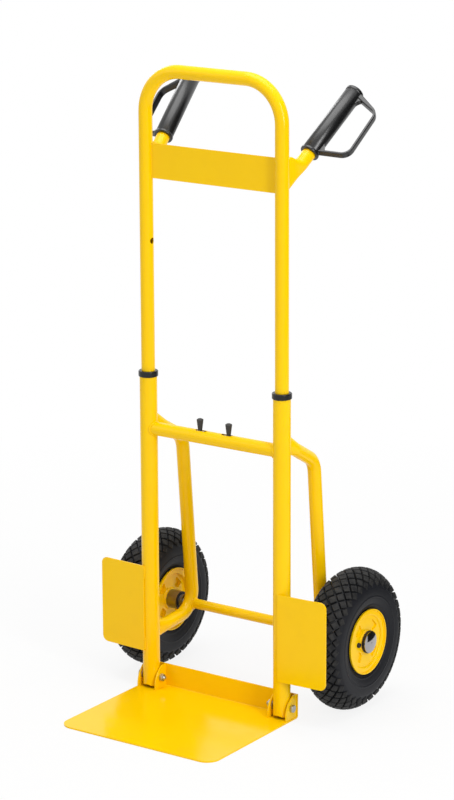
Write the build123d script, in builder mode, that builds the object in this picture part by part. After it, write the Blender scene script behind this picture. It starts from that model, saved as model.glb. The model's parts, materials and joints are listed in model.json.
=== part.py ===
"""Two-wheeled hand truck: telescopic hoop handle, folding toe plate, pneumatic wheels.

Millimetres. X to the right, Y to the back, Z up. The origin is on the floor, midway between
the two stiles, on their common plane. Left pieces have sign -1, right pieces +1.
"""

from build123d import *
from math import cos, pi, radians, sin
import os

os.makedirs("parts", exist_ok=True)

SIDES = (("left", -1), ("right", 1))

# Stiles: the two lower uprights
STILE_SPACING = 292.0
STILE_OD = 32.0
TUBE_WALL = 1.5
STILE_BOTTOM = 8.0
STILE_TOP = 609.0

# Handle: one bent hoop that slides inside the stiles
HANDLE_OD = 25.0
HANDLE_TOP = 1175.0
HANDLE_FOOT = 465.0
HOOP_BEND = 75.0
HANDLE_TRAVEL = 349.0

# Collars on the stile tops and guide bushes on the handle feet
COLLAR_OD = 36.0
COLLAR_SKIRT = 8.0
COLLAR_LID = 3.0
COLLAR_SPIGOT = 29.0
COLLAR_ROUND = 1.8
SLIDE_CLEARANCE = 0.1
BUSH_FLANGE = 12.0
BUSH_SPIGOT = 20.0
BUSH_BORE = 16.0

# Name plate between the handle legs
PLATE_BOTTOM = 967.5
PLATE_HEIGHT = 63.0
PLATE_THICKNESS = 2.0

# Grips on stubs that point back, up and a little outwards
STUB_Z = 976.0
STUB_RISE = 38.0
STUB_SPLAY = 8.3
STUB_LENGTH = 232.0
GRIP_START = 86.0
GRIP_END = 245.0
GRIP_OD = 28.5
GRIP_FLANGE_OD = 34.0
GRIP_CAP_OD = 32.0
GRIP_LIP = 3.5
GRIP_SHOULDER = 2.0
GRIP_FIT = 0.05
GRIP_END_GAP = 1.0
KNUCKLE_DROOP = 25.0
KNUCKLE_REACH = 63.0
KNUCKLE_LOW = 114.0
KNUCKLE_HIGH = 226.0
KNUCKLE_THICKNESS = 5.0
KNUCKLE_WIDTH = 12.5
KNUCKLE_BEND = 13.0
KNUCKLE_EDGE = 1.5
GUSSET = 15.0
GUSSET_THICKNESS = 4.0

# Crossbar and the spring latch inside it
CROSSBAR_OD = 25.0
LATCH_Z = 504.0
LATCH_PIN_D = 10.0
PIN_CHAMFER = 0.3
LATCH_CLEAR = 0.4
LATCH_HOLE_MARGIN = 0.5
LATCH_HEAD_INNER = 22.4
LATCH_HEAD_OUTER = 52.0
LEVER_X = 31.4
LEVER_STEM_D = 8.0
LEVER_TOP_D = 12.5
LEVER_HEIGHT = 22.0
SLOT_INNER = 15.8
SLOT_OUTER = 40.2
SLOT_WIDTH = 8.6
SPRING_STOP_LENGTH = 8.0
SPRING_WIRE = 1.6
SPRING_OD = 18.0
SPRING_TURNS = 4.5

# Bows: bent tubes behind the stiles that carry the axle, their ends crushed flat
BOW_OD = 25.0
BOW_TOP_Z = 522.0
BOW_HIGH_BEND = (104.0, 463.0)
BOW_LOW_BEND = (134.5, 118.0)
BOW_FOOT_Z = 109.0
BOW_HIGH_RADIUS = 40.0
BOW_LOW_RADIUS = 42.0
CRUSH_LENGTH = 48.0
CRUSH_HEIGHT = 36.0
CRUSH_THICKNESS = 9.0
CRUSH_ROOT = 6.0

# Wheels
WHEEL_X = 217.0
WHEEL_Y = 124.5
WHEEL_R = 132.0
TYRE_HALF = 38.5
TYRE_SIDE_R = 90.0
CROWN_R = 43.0
SIDE_START_R = 61.5
BEAD_R = 51.0
BEAD_HALF = 30.5
BEAD_INNER_HALF = 23.5
BEAD_GAP = 0.3
RIM_LIP_R = 60.5
RIM_LIP_HALF = 36.0
RIM_SHEET = 2.0
RIM_FOLD = 1.8
RIM_WELL_R = 46.0
WELL_HALF = 12.0
WELL_RAMP = 4.0
SEAT_FALL = 1.4
TUBE_RING_R = 89.0
TUBE_SECTION = 31.5
TUBE_SKIN = 2.0
TUBE_GAP = 0.3
VALVE_R = 26.5
VALVE_D = 8.0
VALVE_MARGIN = 0.5
VALVE_TIP = 34.0
VALVE_OFFSET = 8.0
OUTER_DISC_FACE = 30.0
INNER_DISC_FACE = 25.0
DISC_COLLAR = 3.0
DISC_POCKETS = 4
POCKET_R = 33.5
POCKET_WIDE = 25.0
POCKET_TALL = 16.0
POCKET_SIDE_ANGLE = 70.0
POCKET_CORNER = 3.0
POCKET_DRAFT = 15.0
OUTER_POCKET_DEPTH = 3.0
INNER_POCKET_DEPTH = 6.0
HUB_OD = 35.0
HUB_BORE = 30.0
HUB_IN = 50.0
HUB_OUT = 38.5
SEAL_RING_ID = 26.6
SEAL_RING_OD = 42.0
SEAL_RING_WIDTH = 4.0
SEAL_RING_GAP = 0.5
BEARING_WIDTH = 10.0
BEARING_BORE = 16.0
SEAL_DEPTH = 0.8

# Tread: rows of diamond lugs round the crown, each row half a pitch on from the one beside it
TREAD_PITCHES = 36
TREAD_ROWS = 4
TREAD_STEP = 11.0
TREAD_DEPTH = 4.0
TREAD_EDGE = 62.0
LUG_SHARE = 0.82
LUG_DRAFT = 8.0
LUG_ROOT = 1.5
EDGE_LUG = 4.0
EDGE_SINK = 1.5

# Axle
AXLE_D = 15.8
AXLE_CHAMFER = 0.8
AXLE_TUBE_OD = 19.0
SPACER_OD = 26.0
CAP_OD = 40.0
CAP_RISE = 3.6
END_PLAY = 0.4

# Wheel guards: plates welded to the front of the stiles
GUARD_BOTTOM = 77.0
GUARD_TOP = 242.0
GUARD_INNER = 2.5
GUARD_WIDTH = 100.0
GUARD_SHEET = 2.5
GUARD_SWEEP = 2.9
GUARD_CORNER = 12.0

# Toe plate: pressed tray that folds up about the bolts through the stile feet
TOE_HALF_WIDTH = 168.5
TOE_THICKNESS = 3.0
TOE_CORNER = 26.0
FLANGE_TOP = 46.0
FLANGE_GAP = 0.4
HINGE_Z = 24.0
EAR_INNER = 18.0
EAR_FRONT = 17.0
EAR_KNEE = 7.0
EAR_TOP_FRONT = 6.0
EAR_BROW = (-10.0, 31.0)
HEEL_BEND = 5.0
TOE_SWING_GAP = 0.4
HINGE_BOLT_D = 8.0
HINGE_HOLE_D = 8.2
BOLT_HEAD_AF = 13.0
BOLT_HEAD_HEIGHT = 5.3
NUT_HEIGHT = 6.5
BOLT_THREAD_END = 4.0
WASHER_OD = 18.0
HEAD_GAP = 0.3

# Values that follow from the ones above
STILE_X = STILE_SPACING / 2
STILE_R = STILE_OD / 2
HANDLE_R = HANDLE_OD / 2
CROSSBAR_R = CROSSBAR_OD / 2
TOE_FRONT = -(WHEEL_Y + WHEEL_R)
FLANGE_FACE = STILE_R + FLANGE_GAP
FLANGE_BACK = FLANGE_FACE + TOE_THICKNESS
EAR_OUTER = EAR_INNER + TOE_THICKNESS
EAR_ROOT = (FLANGE_FACE + FLANGE_BACK) / 2


def save(piece, name):
    """Labels a finished piece and writes it."""
    piece.part.label = name
    export_step(piece.part, f"parts/{name}.step")


def wheel_plane(sign, offset):
    """Section plane through the axle: x is outwards from the given offset, y is radial."""
    return Plane(origin=(sign * offset, WHEEL_Y, WHEEL_R), x_dir=(sign, 0, 0), z_dir=(0, 0, sign))


def wheel_axis():
    return Axis((0, WHEEL_Y, WHEEL_R), (1, 0, 0))


def ring(outer_d, inner_d):
    """Tube section in the current sketch."""
    Circle(outer_d / 2)
    Circle(inner_d / 2, mode=Mode.SUBTRACT)


# Stiles


def make_stile(sign):
    side_plane = Plane.YZ.offset(sign * STILE_X)
    with BuildPart() as stile:
        with BuildSketch(Plane.XY.offset(STILE_BOTTOM)):
            with Locations((sign * STILE_X, 0)):
                ring(STILE_OD, STILE_OD - 2 * TUBE_WALL)
        extrude(amount=STILE_TOP - STILE_BOTTOM)
        # The foot is rounded about the hinge so that the flange swings under it and the plate in front of it
        for side_y, foot_r in ((STILE_R, STILE_R), (-STILE_R, HINGE_Z - TOE_THICKNESS - TOE_SWING_GAP)):
            with BuildSketch(side_plane):
                with Locations((side_y, HINGE_Z - STILE_R)):
                    Rectangle(STILE_OD, STILE_OD)
                with Locations((0, HINGE_Z)):
                    Circle(foot_r, mode=Mode.SUBTRACT)
            extrude(amount=STILE_OD, both=True, mode=Mode.SUBTRACT)
        with BuildSketch(side_plane):
            with Locations((0, HINGE_Z)):
                Circle(HINGE_BOLT_D / 2)
        extrude(amount=STILE_OD, both=True, mode=Mode.SUBTRACT)
        with BuildSketch(side_plane):
            with Locations((0, LATCH_Z)):
                Circle(LATCH_PIN_D / 2 + SLIDE_CLEARANCE)
        extrude(amount=-sign * STILE_OD, mode=Mode.SUBTRACT)
    return stile


for side, sign in SIDES:
    save(make_stile(sign), f"{side}_stile")


# Crossbar with a slot for each latch lever

with BuildPart() as crossbar:
    with BuildSketch(Plane.YZ):
        with Locations((0, LATCH_Z)):
            ring(CROSSBAR_OD, CROSSBAR_OD - 2 * TUBE_WALL)
    extrude(amount=STILE_X, both=True)
    with Locations((-STILE_X, 0, LATCH_Z), (STILE_X, 0, LATCH_Z)):
        Cylinder(STILE_R, 2 * CROSSBAR_OD, mode=Mode.SUBTRACT)
    slot_centre = (SLOT_INNER + SLOT_OUTER) / 2
    with BuildSketch(Plane.XY.offset(LATCH_Z)):
        with Locations((-slot_centre, 0), (slot_centre, 0)):
            SlotOverall(SLOT_OUTER - SLOT_INNER, SLOT_WIDTH)
    extrude(amount=CROSSBAR_OD, mode=Mode.SUBTRACT)
save(crossbar, "crossbar")


# Latch: a pin with a head, a lever that stands through the slot, and a spring behind the head


def make_latch_pin(sign):
    tip = STILE_X - HANDLE_R - LATCH_CLEAR
    head_r = CROSSBAR_R - TUBE_WALL - SLIDE_CLEARANCE
    with BuildPart() as pin:
        with BuildSketch(Plane.YZ.offset(sign * LATCH_HEAD_INNER)):
            with Locations((0, LATCH_Z)):
                Circle(head_r)
        extrude(amount=sign * (LATCH_HEAD_OUTER - LATCH_HEAD_INNER))
        with BuildSketch(Plane.YZ.offset(sign * LATCH_HEAD_OUTER)):
            with Locations((0, LATCH_Z)):
                Circle(LATCH_PIN_D / 2)
        extrude(amount=sign * (tip - LATCH_HEAD_OUTER))
        chamfer(pin.edges().group_by(Axis.X)[-1 if sign > 0 else 0], PIN_CHAMFER)
        with BuildSketch(Plane.XY.offset(LATCH_Z)):
            with Locations((sign * LEVER_X, 0)):
                Circle(LEVER_STEM_D / 2)
        extrude(amount=CROSSBAR_R, mode=Mode.SUBTRACT)
    return pin


def make_lever(sign):
    stem_r = LEVER_STEM_D / 2
    top_r = LEVER_TOP_D / 2
    rail = CROSSBAR_R + 1.0
    top = CROSSBAR_R + LEVER_HEIGHT
    crown = 2.5
    with BuildPart() as lever:
        with BuildSketch(Plane(origin=(sign * LEVER_X, 0, LATCH_Z), x_dir=(1, 0, 0), z_dir=(0, -1, 0))):
            with BuildLine():
                Polyline((0, 0), (stem_r, 0), (stem_r, rail), (top_r, top - crown))
                TangentArc((0, top), (top_r, top - crown), tangent=(1, 0))
                Line((0, top), (0, 0))
            make_face()
        revolve(axis=Axis((sign * LEVER_X, 0, 0), (0, 0, 1)))
    return lever


def make_latch_spring(sign):
    start = SPRING_STOP_LENGTH / 2 + SPRING_WIRE / 2
    length = LATCH_HEAD_INNER - SPRING_WIRE / 2 - start
    with BuildPart() as spring:
        with BuildLine() as coil:
            Helix(
                pitch=length / SPRING_TURNS,
                height=length,
                radius=(SPRING_OD - SPRING_WIRE) / 2,
                center=(sign * start, 0, LATCH_Z),
                direction=(sign, 0, 0),
            )
        with BuildSketch(Plane(origin=coil.line @ 0, z_dir=coil.line % 0)):
            Circle(SPRING_WIRE / 2)
        sweep()
    return spring


for side, sign in SIDES:
    save(make_latch_pin(sign), f"{side}_latch_pin")
    save(make_lever(sign), f"{side}_latch_lever")
    save(make_latch_spring(sign), f"{side}_latch_spring")

with BuildPart() as spring_stop:
    with BuildSketch(Plane.YZ):
        with Locations((0, LATCH_Z)):
            Circle(CROSSBAR_R - TUBE_WALL - SLIDE_CLEARANCE)
    extrude(amount=SPRING_STOP_LENGTH / 2, both=True)
save(spring_stop, "spring_stop")


# Bows


def bow_ends():
    """Where each arm leaves the stile's plane, as points (y, z), with its bend next to it."""
    return ((0.0, BOW_TOP_Z), BOW_HIGH_BEND), ((0.0, BOW_FOOT_Z), BOW_LOW_BEND)


def along(start, end, distance):
    """Point at a distance from start towards end, and the unit direction between them."""
    direction = (Vector(*end) - Vector(*start)).normalized()
    return Vector(*start) + direction * distance, direction


def make_bow_solid(sign, inset):
    """The bow's outer form, or its bore where inset is the wall."""
    bow_x = sign * STILE_X
    (top, high), (foot, low) = bow_ends()
    top_neck, _ = along(top, high, CRUSH_LENGTH)
    foot_neck, _ = along(foot, low, CRUSH_LENGTH)
    radius = BOW_OD / 2 - inset
    with BuildPart() as bow:
        with BuildLine(Plane.YZ.offset(bow_x)) as path:
            FilletPolyline(
                (top_neck.X, top_neck.Y),
                high,
                low,
                (foot_neck.X, foot_neck.Y),
                radius=[BOW_HIGH_RADIUS, BOW_LOW_RADIUS],
            )
        with BuildSketch(Plane(origin=path.line @ 0, x_dir=(1, 0, 0), z_dir=path.line % 0)):
            Circle(radius)
        sweep()
        # Each end goes from the round tube to a flat, tall oval at the stile
        for start, bend in bow_ends():
            root, direction = along(start, bend, CRUSH_ROOT)
            neck, _ = along(start, bend, CRUSH_LENGTH)
            normal = (0, direction.X, direction.Y)
            with BuildSketch(Plane((bow_x, root.X, root.Y), x_dir=(1, 0, 0), z_dir=normal)):
                Ellipse(CRUSH_THICKNESS / 2 - inset, CRUSH_HEIGHT / 2 - inset)
            with BuildSketch(Plane((bow_x, neck.X, neck.Y), x_dir=(1, 0, 0), z_dir=normal)):
                Circle(radius)
            loft()
    return bow


def make_bow(sign):
    outer = make_bow_solid(sign, 0)
    bore = make_bow_solid(sign, TUBE_WALL)
    with BuildPart() as bow:
        add(outer.part)
        add(bore.part, mode=Mode.SUBTRACT)
        with Locations((sign * STILE_X, 0, LATCH_Z / 2)):
            Cylinder(STILE_R, 2 * LATCH_Z, mode=Mode.SUBTRACT)
        with BuildSketch(Plane.YZ.offset(sign * STILE_X)):
            with Locations((WHEEL_Y, WHEEL_R)):
                Circle(AXLE_D / 2)
        extrude(amount=BOW_OD, both=True, mode=Mode.SUBTRACT)
    return bow


for side, sign in SIDES:
    save(make_bow(sign), f"{side}_bow")


# Axle, its cross tube, spacers and end caps

with BuildPart() as axle_tube:
    with BuildSketch(Plane.YZ):
        with Locations((WHEEL_Y, WHEEL_R)):
            ring(AXLE_TUBE_OD, AXLE_TUBE_OD - 2 * TUBE_WALL)
    extrude(amount=STILE_X, both=True)
    for side, sign in SIDES:
        add(make_bow_solid(sign, 0).part, mode=Mode.SUBTRACT)
save(axle_tube, "axle_tube")

HUB_INNER = WHEEL_X - HUB_IN
HUB_OUTER = WHEEL_X + HUB_OUT

with BuildPart() as axle:
    with BuildSketch(Plane.YZ):
        with Locations((WHEEL_Y, WHEEL_R)):
            Circle(AXLE_D / 2)
    extrude(amount=HUB_OUTER + END_PLAY + CAP_RISE / 2, both=True)
    chamfer(axle.faces().filter_by(GeomType.PLANE).edges(), AXLE_CHAMFER)
save(axle, "axle")

with BuildPart() as axle_spacers:
    for side, sign in SIDES:
        with BuildSketch(Plane.YZ.offset(sign * (STILE_X + BOW_OD / 2))):
            with Locations((WHEEL_Y, WHEEL_R)):
                ring(SPACER_OD, AXLE_D)
        extrude(amount=sign * (HUB_INNER - END_PLAY - STILE_X - BOW_OD / 2))
save(axle_spacers, "axle_spacers")


def make_hub_cap(sign):
    cap_r = CAP_OD / 2
    edge = 1.2
    with BuildPart() as cap:
        with BuildSketch(wheel_plane(sign, HUB_OUTER + END_PLAY)):
            with BuildLine():
                Polyline((CAP_RISE, 0), (CAP_RISE / 2, 0), (CAP_RISE / 2, AXLE_D / 2))
                Polyline((CAP_RISE / 2, AXLE_D / 2), (0, AXLE_D / 2), (0, cap_r), (edge, cap_r))
                TangentArc((CAP_RISE, 0), (edge, cap_r), tangent=(0, 1))
            make_face()
        revolve(axis=wheel_axis())
    return cap


for side, sign in SIDES:
    save(make_hub_cap(sign), f"{side}_hub_cap")


# Wheels


def lug_row(row):
    """How far a row of lugs leans out from the crown, and its radius about the axle."""
    lean = row * TREAD_STEP / CROWN_R
    return lean, WHEEL_R - CROWN_R * (1 - cos(lean))


def lug_planes(row, sink):
    """Planes of a row's flat tops: x runs round the tyre, y across it, z out of it."""
    lean, radius = lug_row(row)
    for pitch in range(TREAD_PITCHES):
        turn = 2 * pi / TREAD_PITCHES * (pitch + (row + 1) / 2)
        top = (WHEEL_X + CROWN_R * sin(lean), WHEEL_Y + radius * cos(turn), WHEEL_R + radius * sin(turn))
        out = (sin(lean), cos(lean) * cos(turn), cos(lean) * sin(turn))
        yield Plane(origin=top, x_dir=(0, -sin(turn), cos(turn)), z_dir=out).offset(-sink)


def make_carcass():
    """Right tyre without its lugs: hollow round the inner tube, open between the beads."""
    edge = radians(TREAD_EDGE)
    floor_r = CROWN_R - TREAD_DEPTH
    floor_top = (0, WHEEL_R - TREAD_DEPTH)
    shoulder = (floor_r * sin(edge), WHEEL_R - CROWN_R + floor_r * cos(edge))
    with BuildPart() as carcass:
        with BuildSketch(wheel_plane(1, WHEEL_X)):
            with BuildLine():
                Polyline((0, BEAD_R), (BEAD_HALF, BEAD_R), (BEAD_HALF, SIDE_START_R))
                ThreePointArc((BEAD_HALF, SIDE_START_R), (TYRE_HALF, TYRE_SIDE_R), shoulder)
                TangentArc(floor_top, shoulder, tangent=(1, 0))
                Line(floor_top, (0, BEAD_R))
            make_face()
            mirror(about=Plane.YZ)
            with Locations((0, TUBE_RING_R)):
                Circle(TUBE_SECTION + TUBE_GAP, mode=Mode.SUBTRACT)
            with Locations((0, BEAD_R)):
                Rectangle(2 * BEAD_INNER_HALF, 2 * (TUBE_RING_R - BEAD_R), mode=Mode.SUBTRACT)
        revolve(axis=wheel_axis())
    return carcass


def make_tyre():
    """Right tyre: diamond lugs over the crown, those of the two edge rows cut short at the shoulder."""
    across = LUG_SHARE * TREAD_STEP
    # Flat tops are set down so that their points lie on the round of the crown
    sink = CROWN_R - (CROWN_R**2 - across**2) ** 0.5
    with BuildPart() as tyre:
        add(make_carcass().part)
        for row in range(1 - TREAD_ROWS, TREAD_ROWS):
            _, radius = lug_row(row)
            around = LUG_SHARE * pi * radius / TREAD_PITCHES
            with BuildSketch(*lug_planes(row, sink)):
                Polygon((around, 0), (0, across), (-around, 0), (0, -across))
        for side in (-1, 1):
            _, radius = lug_row(side * TREAD_ROWS)
            around = LUG_SHARE * pi * radius / TREAD_PITCHES
            end = side * EDGE_LUG
            with BuildSketch(*lug_planes(side * TREAD_ROWS, EDGE_SINK)):
                Polygon(
                    (around, 0),
                    (around / 2, end),
                    (-around / 2, end),
                    (-around, 0),
                    (0, -side * across),
                    align=None,
                )
        extrude(amount=-(TREAD_DEPTH + LUG_ROOT), taper=-LUG_DRAFT)
    return tyre


def make_air_ring(sign, section_r):
    """The ring of an inflated tube, with the given section radius."""
    with BuildPart() as air_ring:
        with BuildSketch(wheel_plane(sign, WHEEL_X)):
            with Locations((0, TUBE_RING_R)):
                Circle(section_r)
        revolve(axis=wheel_axis())
    return air_ring


def make_inner_tube(sign):
    with BuildPart() as tube:
        add(make_air_ring(sign, TUBE_SECTION).part)
        add(make_air_ring(sign, TUBE_SECTION - TUBE_SKIN).part, mode=Mode.SUBTRACT)
    return tube


def make_valve(sign):
    """Stem that leaves the tube towards the hub, then turns out through the outer disc."""
    stem_x = sign * (WHEEL_X + VALVE_OFFSET)
    root_r = TUBE_RING_R - TUBE_SECTION + TUBE_SKIN
    with BuildPart() as valve:
        with BuildSketch(Plane((stem_x, WHEEL_Y - root_r, WHEEL_R), z_dir=(0, 1, 0))):
            Circle(VALVE_D / 2)
        extrude(amount=root_r - VALVE_R)
        with BuildSketch(Plane.YZ.offset(stem_x - sign * VALVE_D / 2)):
            with Locations((WHEEL_Y - VALVE_R, WHEEL_R)):
                Circle(VALVE_D / 2)
        extrude(amount=sign * (VALVE_TIP - VALVE_OFFSET + VALVE_D / 2))
        add(make_air_ring(sign, TUBE_SECTION).part, mode=Mode.SUBTRACT)
    return valve


def make_rim(sign):
    """Barrel rolled from sheet, with a well in the middle and a lip on each side."""
    lip_r = RIM_LIP_R - RIM_SHEET / 2
    flange_x = BEAD_HALF + BEAD_GAP + RIM_SHEET / 2
    seat_r = BEAD_R - 2 * BEAD_GAP - RIM_SHEET / 2
    well_r = RIM_WELL_R - RIM_SHEET / 2
    half = [
        (RIM_LIP_HALF, lip_r),
        (flange_x, lip_r),
        (flange_x, seat_r),
        (WELL_HALF + WELL_RAMP, seat_r - SEAT_FALL),
        (WELL_HALF, well_r),
    ]
    other_half = [(-x, r) for x, r in reversed(half)]
    with BuildPart() as rim:
        with BuildSketch(wheel_plane(sign, WHEEL_X)):
            with BuildLine():
                FilletPolyline(*half, *other_half, radius=RIM_FOLD)
            trace(line_width=RIM_SHEET)
        revolve(axis=wheel_axis())
        # Valve hole through the well
        with BuildSketch(Plane(origin=(sign * (WHEEL_X + VALVE_OFFSET), WHEEL_Y, WHEEL_R), z_dir=(0, -1, 0))):
            Circle(VALVE_D / 2 + VALVE_MARGIN)
        extrude(amount=RIM_LIP_R, mode=Mode.SUBTRACT)
    return rim


def pocket_outline(plane, margin):
    """Rounded trapezoids round the hub, wide side outwards."""
    with BuildSketch(plane) as outline:
        with PolarLocations(POCKET_R, DISC_POCKETS, start_angle=180 / DISC_POCKETS):
            Trapezoid(POCKET_WIDE, POCKET_TALL, POCKET_SIDE_ANGLE, rotation=90)
        fillet(outline.vertices(), POCKET_CORNER)
        if margin:
            offset(amount=margin)
    return outline.sketch


def make_disc(sign, face, disc_x, pocket_depth):
    """Pressed disc between hub and barrel, with pockets; face is +1 for the outer, -1 for the inner."""
    out = sign * face
    bore_r = HUB_OD / 2
    edge_r = BEAD_R - RIM_SHEET
    face_plane = Plane((sign * WHEEL_X + out * disc_x, WHEEL_Y, WHEEL_R), x_dir=(0, 1, 0), z_dir=(-out, 0, 0))
    with BuildPart() as disc:
        with BuildSketch(wheel_plane(out, face * WHEEL_X)):
            with BuildLine():
                Polyline(
                    (disc_x - RIM_SHEET, bore_r),
                    (disc_x + DISC_COLLAR, bore_r),
                    (disc_x + DISC_COLLAR, bore_r + RIM_SHEET),
                    (disc_x, bore_r + 2 * RIM_SHEET),
                    (disc_x, edge_r),
                    (disc_x - RIM_SHEET, edge_r),
                    (disc_x - RIM_SHEET, bore_r),
                )
            make_face()
        revolve(axis=wheel_axis())
        add(make_rim(sign).part, mode=Mode.SUBTRACT)
        extrude(pocket_outline(face_plane, RIM_SHEET), amount=pocket_depth + RIM_SHEET, taper=POCKET_DRAFT)
        extrude(pocket_outline(face_plane, 0), amount=pocket_depth, taper=POCKET_DRAFT, mode=Mode.SUBTRACT)
        if face > 0:
            with BuildSketch(Plane.YZ.offset(sign * WHEEL_X)):
                with Locations((WHEEL_Y - VALVE_R, WHEEL_R)):
                    Circle(VALVE_D / 2 + VALVE_MARGIN)
            extrude(amount=sign * RIM_LIP_HALF, mode=Mode.SUBTRACT)
    return disc


def make_hub(sign):
    """Tube that reaches further in than out, so that the wheel stands clear of the bow."""
    with BuildPart() as hub:
        with BuildSketch(wheel_plane(sign, WHEEL_X)):
            with Locations(((HUB_OUT - HUB_IN) / 2, (HUB_OD + HUB_BORE) / 4)):
                Rectangle(HUB_OUT + HUB_IN, (HUB_OD - HUB_BORE) / 2)
        revolve(axis=wheel_axis())
    return hub


def make_bearings(sign):
    """A bearing in each end of the hub, with its seal set back between the races."""
    race = 2.2
    with BuildPart() as bearings:
        for end, reach in ((-1, HUB_IN), (1, HUB_OUT)):
            out = sign * end
            with BuildSketch(wheel_plane(out, end * WHEEL_X)):
                with Locations((reach - BEARING_WIDTH / 2, (HUB_BORE + BEARING_BORE) / 4)):
                    Rectangle(BEARING_WIDTH, (HUB_BORE - BEARING_BORE) / 2)
                with Locations((reach, (HUB_BORE + BEARING_BORE) / 4)):
                    Rectangle(2 * SEAL_DEPTH, (HUB_BORE - BEARING_BORE) / 2 - 2 * race, mode=Mode.SUBTRACT)
            revolve(axis=wheel_axis())
    return bearings


def make_hub_seals(sign):
    """Rubber rings: one on the hub's inner end, one round the hub behind the cap."""
    inner_x = -HUB_IN - SEAL_RING_WIDTH / 4
    outer_x = HUB_OUT - SEAL_RING_GAP - SEAL_RING_WIDTH / 2
    with BuildPart() as seals:
        with BuildSketch(wheel_plane(sign, WHEEL_X)):
            with Locations((inner_x, (SEAL_RING_ID + HUB_OD) / 4)):
                Rectangle(SEAL_RING_WIDTH / 2, (HUB_OD - SEAL_RING_ID) / 2)
            with Locations((outer_x, (HUB_OD + SEAL_RING_OD) / 4)):
                Rectangle(SEAL_RING_WIDTH, (SEAL_RING_OD - HUB_OD) / 2)
        revolve(axis=wheel_axis())
    return seals


right_tyre = make_tyre()
save(right_tyre, "right_tyre")

with BuildPart() as left_tyre:
    mirror(right_tyre.part, about=Plane.YZ)
save(left_tyre, "left_tyre")

for side, sign in SIDES:
    save(make_inner_tube(sign), f"{side}_inner_tube")
    save(make_valve(sign), f"{side}_valve")
    save(make_rim(sign), f"{side}_rim")
    save(make_disc(sign, 1, OUTER_DISC_FACE, OUTER_POCKET_DEPTH), f"{side}_outer_disc")
    save(make_disc(sign, -1, INNER_DISC_FACE, INNER_POCKET_DEPTH), f"{side}_inner_disc")
    save(make_hub(sign), f"{side}_hub")
    save(make_bearings(sign), f"{side}_bearings")
    save(make_hub_seals(sign), f"{side}_hub_seals")


# Wheel guards


def make_wheel_guard(sign):
    """Plate with rounded outer corners, its back face against the stile's front."""
    swept = radians(GUARD_SWEEP)
    inner_edge = (sign * (STILE_X + GUARD_INNER), -STILE_R, GUARD_BOTTOM)
    with BuildPart() as guard:
        with BuildSketch(Plane(inner_edge, x_dir=(sign * cos(swept), sin(swept), 0), z_dir=(0, 0, 1))):
            with Locations((GUARD_WIDTH / 2, -sign * GUARD_SHEET / 2)):
                Rectangle(GUARD_WIDTH, GUARD_SHEET)
        extrude(amount=GUARD_TOP - GUARD_BOTTOM)
        outer_end = guard.faces().sort_by(Axis.X)[-1 if sign > 0 else 0]
        corners = outer_end.edges().sort_by(Axis.Z)
        fillet([corners[0], corners[-1]], GUARD_CORNER)
    return guard


for side, sign in SIDES:
    save(make_wheel_guard(sign), f"{side}_wheel_guard")


# Collars on the stile tops


def make_collar(sign):
    """Cap with a skirt outside the stile and a spigot inside it, bored for the handle leg."""
    slide_r = HANDLE_R + SLIDE_CLEARANCE
    spigot_r = STILE_R - TUBE_WALL - SLIDE_CLEARANCE
    skirt_r = STILE_R + SLIDE_CLEARANCE
    with BuildPart() as collar:
        with BuildSketch(Plane((sign * STILE_X, 0, STILE_TOP), x_dir=(1, 0, 0), z_dir=(0, -1, 0))):
            with BuildLine():
                Polyline(
                    (slide_r, -COLLAR_SPIGOT),
                    (spigot_r, -COLLAR_SPIGOT),
                    (spigot_r, 0),
                    (skirt_r, 0),
                    (skirt_r, -COLLAR_SKIRT),
                    (COLLAR_OD / 2, -COLLAR_SKIRT),
                    (COLLAR_OD / 2, COLLAR_LID),
                    (slide_r, COLLAR_LID),
                    (slide_r, -COLLAR_SPIGOT),
                )
            make_face()
        revolve(axis=Axis((sign * STILE_X, 0, 0), (0, 0, 1)))
        rims = collar.edges().filter_by(GeomType.CIRCLE).filter_by(lambda e: e.radius > skirt_r + 1)
        fillet(rims, COLLAR_ROUND)
    return collar


for side, sign in SIDES:
    save(make_collar(sign), f"{side}_collar")


# Handle hoop, with a latch hole in each leg for the raised and the lowered position

with BuildPart() as handle_hoop:
    top_line = HANDLE_TOP - HANDLE_R
    with BuildLine(Plane.XZ) as hoop_path:
        FilletPolyline(
            (-STILE_X, HANDLE_FOOT),
            (-STILE_X, top_line),
            (STILE_X, top_line),
            (STILE_X, HANDLE_FOOT),
            radius=HOOP_BEND,
        )
    with BuildSketch(Plane(origin=hoop_path.line @ 0, z_dir=hoop_path.line % 0)):
        ring(HANDLE_OD, HANDLE_OD - 2 * TUBE_WALL)
    sweep()
    for side, sign in SIDES:
        with BuildSketch(Plane.YZ.offset(sign * STILE_X)):
            with Locations((0, LATCH_Z), (0, LATCH_Z + HANDLE_TRAVEL)):
                Circle(LATCH_PIN_D / 2 + LATCH_HOLE_MARGIN)
        extrude(amount=-sign * HANDLE_OD, mode=Mode.SUBTRACT)
save(handle_hoop, "handle_hoop")

with BuildPart() as guide_bushes:
    for side, sign in SIDES:
        foot = Plane((sign * STILE_X, 0, HANDLE_FOOT))
        with BuildSketch(foot):
            ring(STILE_OD - 2 * TUBE_WALL - 2 * SLIDE_CLEARANCE, BUSH_BORE)
        extrude(amount=-BUSH_FLANGE)
        with BuildSketch(foot):
            ring(HANDLE_OD - 2 * TUBE_WALL - 2 * SLIDE_CLEARANCE, BUSH_BORE)
        extrude(amount=BUSH_SPIGOT)
save(guide_bushes, "guide_bushes")

with BuildPart() as name_plate:
    with Locations((0, 0, PLATE_BOTTOM + PLATE_HEIGHT / 2)):
        Box(STILE_SPACING - HANDLE_OD, PLATE_THICKNESS, PLATE_HEIGHT)
save(name_plate, "name_plate")


# Grips


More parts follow.
